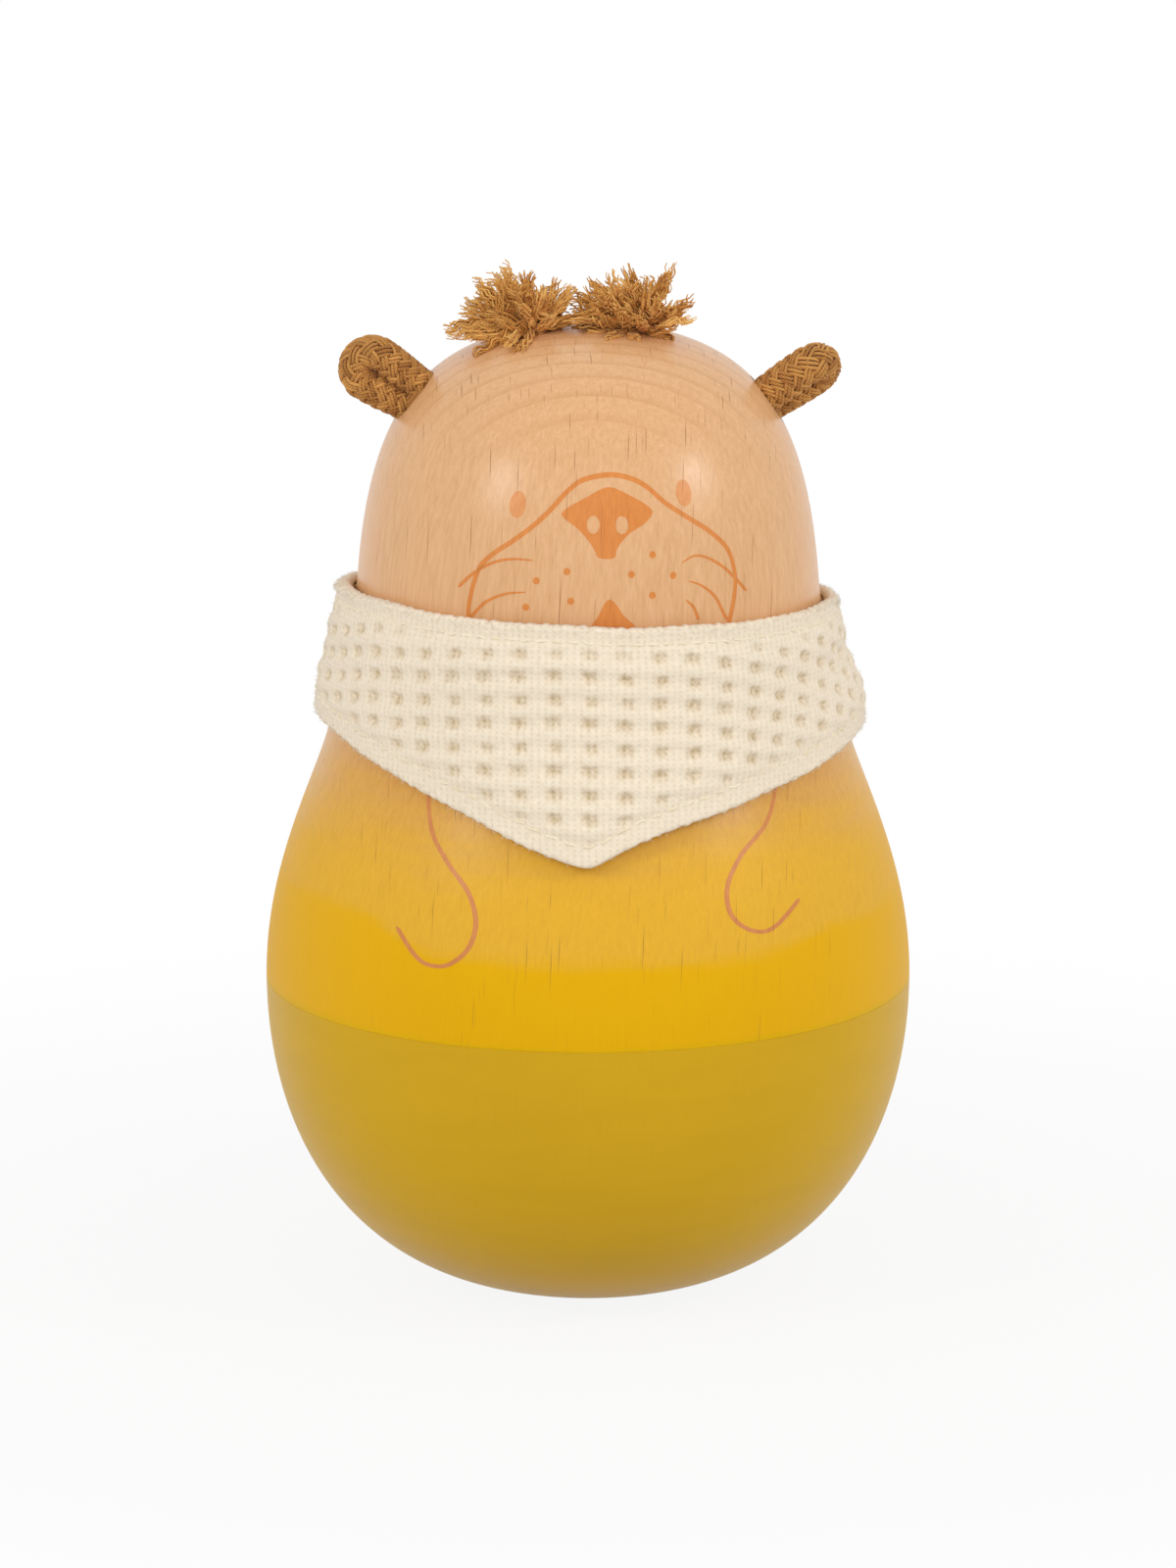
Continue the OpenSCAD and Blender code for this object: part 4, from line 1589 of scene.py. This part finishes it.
    def rolled(self, way: Array, z: Array) -> tuple[Array, Array, Array]:
        """Rolls the outer side in at the edges.

        Args:
            way: Angles from the point.
            z: Heights.

        Returns:
            The distance from the nearer edge, the share of the roll from 0 at the edge, and how far the outer
            side stands off the wood.
        """
        edge = np.minimum(*self.margins(way, z))
        lift = np.sqrt(np.clip(1.0 - (1.0 - np.clip(edge / self.roll_r, 0.0, 1.0)) ** 2, 0.0, 1.0))
        return edge, lift, self.middle + (self.outside(way, z) - self.middle) * lift

    def section(self, way: Array, share: Array) -> tuple[Array, Array]:
        """Runs round the cloth's cross section: up the outer side and down the inner side.

        Args:
            way: Angles from the point.
            share: How far round the section, from 0 at the lower edge.

        Returns:
            The heights, and how far the points stand off the wood.
        """
        low, top = self.low(way), self.top(way)
        outer_share = self.outer_rows / (self.outer_rows + self.inner_rows)
        outer = share <= outer_share
        part = np.where(outer, share / outer_share, (1.0 - share) / (1.0 - outer_share))
        z = low + (top - low) * (part - self.row_crowd * np.sin(math.tau * part))
        edge, lift, far = self.rolled(way, z)
        flat = smooth_step(self.roll_r, self.roll_r + self.roll_ease, edge)
        inner = self.roll_in + (self.face_in - self.roll_in) * flat
        return z, np.where(outer, far, self.middle - (self.middle - inner) * lift)

    def build(self) -> None:
        """Sews the bandana: the waffle layer, the lining and the topstitching, and raises its nap."""
        face = self.face()
        lining = self.lining()
        stitches = self.topstitch()
        nap = self.nap()
        way = np.linspace(-math.pi, math.pi, self.columns, endpoint=False)
        mean = float(np.mean(self.top(way) - self.low(way))) * MM
        place_piece(face, WAFFLE_COTTON, Body.BANDANA, "waffle_cotton", "bandana_face")
        place_piece(lining, LINING_COTTON, Body.BANDANA, "lining_cotton", "bandana_lining")
        place_piece(stitches, SEWING_THREAD, Body.BANDANA, "waffle_cotton")
        place_piece(nap, COTTON_NAP, Body.BANDANA, "waffle_cotton")

    def face(self) -> Object:
        """Makes the waffle layer with its hollows, its hems and its rolled edges.

        Returns:
            The layer.
        """

        def place(u: Array, v: Array) -> Array:
            """Places points round the cross section."""
            way = (u - 0.5) * math.tau
            return self.placed(way, *self.section(way, v))

        def pattern(u: Array, v: Array) -> Array:
            """Lays the stitches along the cloth.

            Args:
                u: Shares along the cloth.
                v: Shares round its cross section.

            Returns:
                The places on the map, in millimetres.
            """
            way = (u - 0.5) * math.tau
            z, _ = self.section(way, v)
            return np.stack([self.arc(way, z), z], axis=1)

        obj = shaped_grid("bandana_waffle", self.columns, self.outer_rows + self.inner_rows, place, pattern)
        close_mesh(obj)
        x, y, z = mesh_points(obj.data).T / MM
        way = (np.arctan2(x, -y) - math.radians(self.turn) + math.pi) % math.tau - math.pi
        outer = smooth_step(self.face_in + 0.05, self.face_in + 0.1, np.hypot(x, y) - self.wood.radius(z))
        mark_points(obj.data, "dimple", self.dimples(way, z) * outer)
        return obj

    def lining(self) -> Object:
        """Makes the lining, a plain ring against the neck.

        Returns:
            The layer.
        """

        def place(u: Array, v: Array) -> Array:
            """Places points round the cross section.

            Args:
                u: Shares along the cloth.
                v: Shares round its cross section.

            Returns:
                The points, one row each.
            """
            way = (u - 0.5) * math.tau
            low, top = self.low(way) + self.lining_inset, self.top(way) - self.lining_inset
            half = (1.0 - np.cos(v * math.tau)) / 2.0
            out = np.clip(self.lining_square * np.sin(v * math.tau), -1.0, 1.0)
            off = self.lining_gap + self.lining_t * (0.5 + 0.5 * out)
            return self.placed(way, low + (top - low) * half, off)

        def pattern(u: Array, v: Array) -> Array:
            """Lays the stitches along the cloth, in millimetres."""
            return np.stack([u * math.tau * self.flat_r, v * self.lining_map], axis=1)

        obj = shaped_grid("bandana_inner_lining", *self.lining_fields, place, pattern)
        close_mesh(obj)
        return obj

    def nap(self) -> Object:
        """Raises the soft nap of the cotton: short loose fibres, two fifths of them on each edge.

        Returns:
            The nap.
        """
        chance = np.random.default_rng(self.nap_seed)
        count = self.nap_fibres
        way = chance.uniform(-math.pi, math.pi, count)
        low, top = self.low(way), self.top(way)
        near = np.abs(chance.normal(0.0, self.nap_band[0], count)) + self.nap_band[1]
        kind = chance.integers(0, 5, count)
        at_low, at_top = kind < 2, (kind >= 2) & (kind < 4)
        z = np.select([at_low, at_top], [low + near, top - near], low + (top - low) * chance.random(count))
        _, lift, off = self.rolled(way, z)
        long = chance.uniform(*self.nap_mm, count)
        rise = np.select([at_low, at_top], [-1.0, 1.0], 0.0) * (1.0 - lift)
        rise = rise + chance.normal(0.0, self.nap_stray[0], count)
        aside = chance.normal(0.0, self.nap_stray[1], count)
        t = np.linspace(0.0, 1.0, 4)
        radii = self.nap_d / 2.0 * (1.0 - self.nap_taper * t)
        strands = []
        for k in range(count):
            stands = long[k] * (self.nap_out[0] + self.nap_out[1] * lift[k])
            out = off[k] - self.nap_root + (self.nap_root + stands) * t
            path = self.placed(way[k] + aside[k] * long[k] / self.flat_r * t ** self.nap_bends[0],
                               z[k] + rise[k] * long[k] * self.nap_rise * t ** self.nap_bends[1], out)
            strands.append(Strand(path, radii, float(chance.random())))
        return strand_bundle("bandana_nap", strands, 3)

    def topstitch(self) -> Object:
        """Sews two rows of stitches along the hems, and two down the overlap at the nape.

        Returns:
            The stitches.
        """
        fine = np.linspace(-math.pi, math.pi, 2000)
        routes = [np.stack([fine, self.low(fine) + self.low_hem], axis=1),
                  np.stack([fine, self.top(fine) - self.top_hem], axis=1)]
        for side in (-1, 1):
            up = np.linspace(0.0, 1.0, 60)
            way = np.full(len(up), side * (math.pi - math.radians(self.seam_half - self.seam_stitch)))
            low, top = self.low(way) + self.low_hem, self.top(way) - self.top_hem
            routes.append(np.stack([way, low + (top - low) * up], axis=1))
        along, across = self.stitch_stray
        chance = random.Random(self.stitch_seed)
        t = np.linspace(0.0, 1.0, 9)
        # A stitch dips into the cloth and gets thinner at both ends
        sunk = self.stitch_sunk * (1.0 - np.abs(np.sin(math.pi * t)) ** 0.5)
        radii = self.stitch_d / 2.0 * np.sqrt(np.clip(np.sin(math.pi * (0.06 + 0.88 * t)) * 1.6, 0.05, 1.0))
        strands = []
        for route in routes:
            gone = distances(route * (self.flat_r, 1.0))
            count = int(gone[-1] / self.stitch_mm)
            pitch = gone[-1] / count
            for k in range(count):
                start = (k + self.stitch_start + chance.uniform(-along, along)) * pitch
                at = start + t * self.stitch_share * pitch
                way = np.interp(at, gone, route[:, 0])
                z = np.interp(at, gone, route[:, 1]) + chance.uniform(-across, across)
                off = self.outside(way, z) + self.stitch_rise * self.stitch_d - sunk
                strands.append(Strand(self.placed(way, z, off), radii, chance.uniform(*self.stitch_tones)))
        return strand_bundle("bandana_topstitch", strands, 6)


@dataclass
class Ballast:
    """The steel slug with its washer and screw, which keep their CAD shapes."""

    slug: str = "ballast_weight"
    fasteners: tuple[str, ...] = ("ballast_washer", "ballast_screw")

    def dress(self) -> None:
        """Gives the steel pieces their finishes."""
        for name, finish in ((self.slug, SLUG_STEEL), *((n, SCREW_STEEL) for n in self.fasteners)):
            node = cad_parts[name]
            node.data.materials.clear()
            node.data.materials.append(finish.material())
            LOG.info("%s: CAD shape, %s", name, finish.name)


@dataclass
class Studio:
    """The pale floor, the soft light and the camera at the photograph's angle. Lengths are in metres."""

    azimuth: float = -4.0
    elevation: float = 12.94
    distance: float = 0.9
    target_z: float = 0.06
    aim_z: float = 0.0628
    lens: float = 166.75
    softbox_azimuths: Point = (-54.0, 60.0)
    softbox_elevation: float = 29.0
    softbox_distance: float = 0.7
    softbox_size: float = 0.15
    softbox_powers: Point = (0.97, 1.06)
    fill_elevation: float = 24.0
    fill_distance: float = 1.3
    fill_size: float = 0.9
    fill_power: float = 1.6
    room_light: float = 0.68
    floor_half: float = 1.2
    floor_paper: str = "#D4D4D4"
    floor_glow: Point = (0.9, 1.0)
    glow_from: Point = (0.06, 0.2)

    def seat(self, azimuth: float, elevation: float, distance: float) -> Vector:
        """Gives a place round the toy's middle.

        Args:
            azimuth: Its azimuth in degrees.
            elevation: Its elevation in degrees.
            distance: Its distance.

        Returns:
            The place.
        """
        a, e = math.radians(azimuth), math.radians(elevation)
        way = Vector((math.cos(e) * math.sin(a), -math.cos(e) * math.cos(a), math.sin(e)))
        return Vector((0.0, 0.0, self.target_z)) + way * distance

    def build(self) -> None:
        """Sets up the camera, the lights, the world and the floor."""
        scene = bpy.context.scene
        scene.view_settings.view_transform = "Standard"
        bpy.ops.object.select_all(action="DESELECT")
        bpy.ops.object.camera_add(location=self.seat(self.azimuth, self.elevation, self.distance))
        camera = bpy.context.object
        aim = Vector((0.0, 0.0, self.aim_z)) - camera.location
        camera.rotation_euler = aim.to_track_quat("-Z", "Y").to_euler()
        camera.data.lens = self.lens
        camera.data.sensor_width = 36.0
        camera.data.clip_start = 0.01
        scene.camera = camera
        for azimuth, power in zip(self.softbox_azimuths, self.softbox_powers):
            place = self.seat(azimuth, self.softbox_elevation, self.softbox_distance)
            self.lamp(place, self.softbox_size, power)
        place = self.seat(self.azimuth, self.fill_elevation, self.fill_distance)
        self.lamp(place, self.fill_size, self.fill_power)
        self.world()
        self.floor()

    def lamp(self, place: Vector, size: float, power: float) -> None:
        """Sets up one square soft lamp that faces the toy.

        Args:
            place: Its place.
            size: The length of its side.
            power: Its power in watts.
        """
        bpy.ops.object.light_add(type="AREA", location=place)
        light = bpy.context.object
        aim = Vector((0.0, 0.0, self.target_z)) - place
        light.rotation_euler = aim.to_track_quat("-Z", "Y").to_euler()
        light.data.size = size
        light.data.energy = power

    @staticmethod
    def seen(add: Adder) -> Socket:
        """Tells what the camera sees, also over gloss and through glass.

        Args:
            add: Adds a node to the material.

        Returns:
            1 for rays from the camera and 0 for light.
        """
        rays = add("LightPath", output="Is Camera Ray")
        paths = rays.node.outputs
        for name in ("Is Glossy Ray", "Is Transmission Ray"):
            rays = add("Math", [rays, paths[name]], operation="MAXIMUM")
        return rays

    def world(self) -> None:
        """Makes the white room, whose seen strength is 1 and whose light is softer."""
        world = bpy.data.worlds.new("white_room")
        bpy.context.scene.world = world
        world.use_nodes = True
        tree = world.node_tree
        add = partial(add_node, tree)
        level = add("MapRange", [self.seen(add), 0.0, 1.0, self.room_light, 1.0])
        background = next(n for n in tree.nodes if n.type == "BACKGROUND")
        background.inputs["Color"].default_value = hex_linear("#FFFFFF")
        tree.links.new(level, background.inputs["Strength"])

    def floor(self) -> None:
        """Lays a white floor that rises into a backdrop and keeps the toy's shadow."""
        obj = add_primitive(bpy.ops.mesh.primitive_plane_add, "studio_floor", size=2.0 * self.floor_half)
        bpy.ops.object.mode_set(mode="EDIT")
        bpy.ops.mesh.select_all(action="DESELECT")
        bpy.ops.object.mode_set(mode="OBJECT")
        for edge in obj.data.edges:
            edge.select = all(obj.data.vertices[i].co.y > 0.0 for i in edge.vertices)
        bpy.ops.object.mode_set(mode="EDIT")
        bpy.ops.mesh.select_mode(type="EDGE")
        bpy.ops.mesh.extrude_region_move(TRANSFORM_OT_translate={"value": (0.0, 0.0, self.floor_half)})
        bpy.ops.object.mode_set(mode="OBJECT")
        apply_modifier(obj, "BEVEL", width=0.5 * self.floor_half, segments=16)
        bpy.ops.object.shade_smooth()
        material = bpy.data.materials.new("white_paper_sweep")
        material.use_nodes = True
        tree = material.node_tree
        add = partial(add_node, tree)
        paper = add("BsdfDiffuse", [self.floor_paper])
        glow = add("Emission", ["#FFFFFF", 1.0])
        away = add("VectorMath", [add("TexCoord", output="Object")], "Value", operation="LENGTH")
        share = add("MapRange", [away, *self.glow_from, *self.floor_glow], **EASED)
        share = add("Math", [self.seen(add), share], operation="MULTIPLY")
        mixed = add("MixShader", [share, paper, glow])
        out = next(n for n in tree.nodes if n.type == "OUTPUT_MATERIAL")
        tree.links.new(mixed, out.inputs["Surface"])
        obj.data.materials.append(material)


def main() -> None:
    """Builds every sub-assembly in order."""
    logging.basicConfig(level=logging.INFO, format="%(name)s: %(message)s")
    Studio().build()
    wood = WoodenBody()
    ears = [BraidedEar(wood, Side.LEFT, turn=-6.0, ear_z=112.0),
            BraidedEar(wood, Side.RIGHT, turn=58.0, ear_z=111.0)]
    tufts = [FrayedTuft(wood, Side.LEFT, lean=(-0.6, -0.22, 0.46), seed=11),
             FrayedTuft(wood, Side.RIGHT, lean=(-0.5, -0.3, 0.32), seed=29)]
    wood.build([(piece.place(), piece.hole_d, piece.hole_depth) for piece in (*ears, *tufts)])
    PrintedFace(wood).build()
    for piece in (*ears, *tufts):
        piece.build()
    Bandana(wood).build()
    Ballast().dress()


if __name__ == "__main__":
    main()
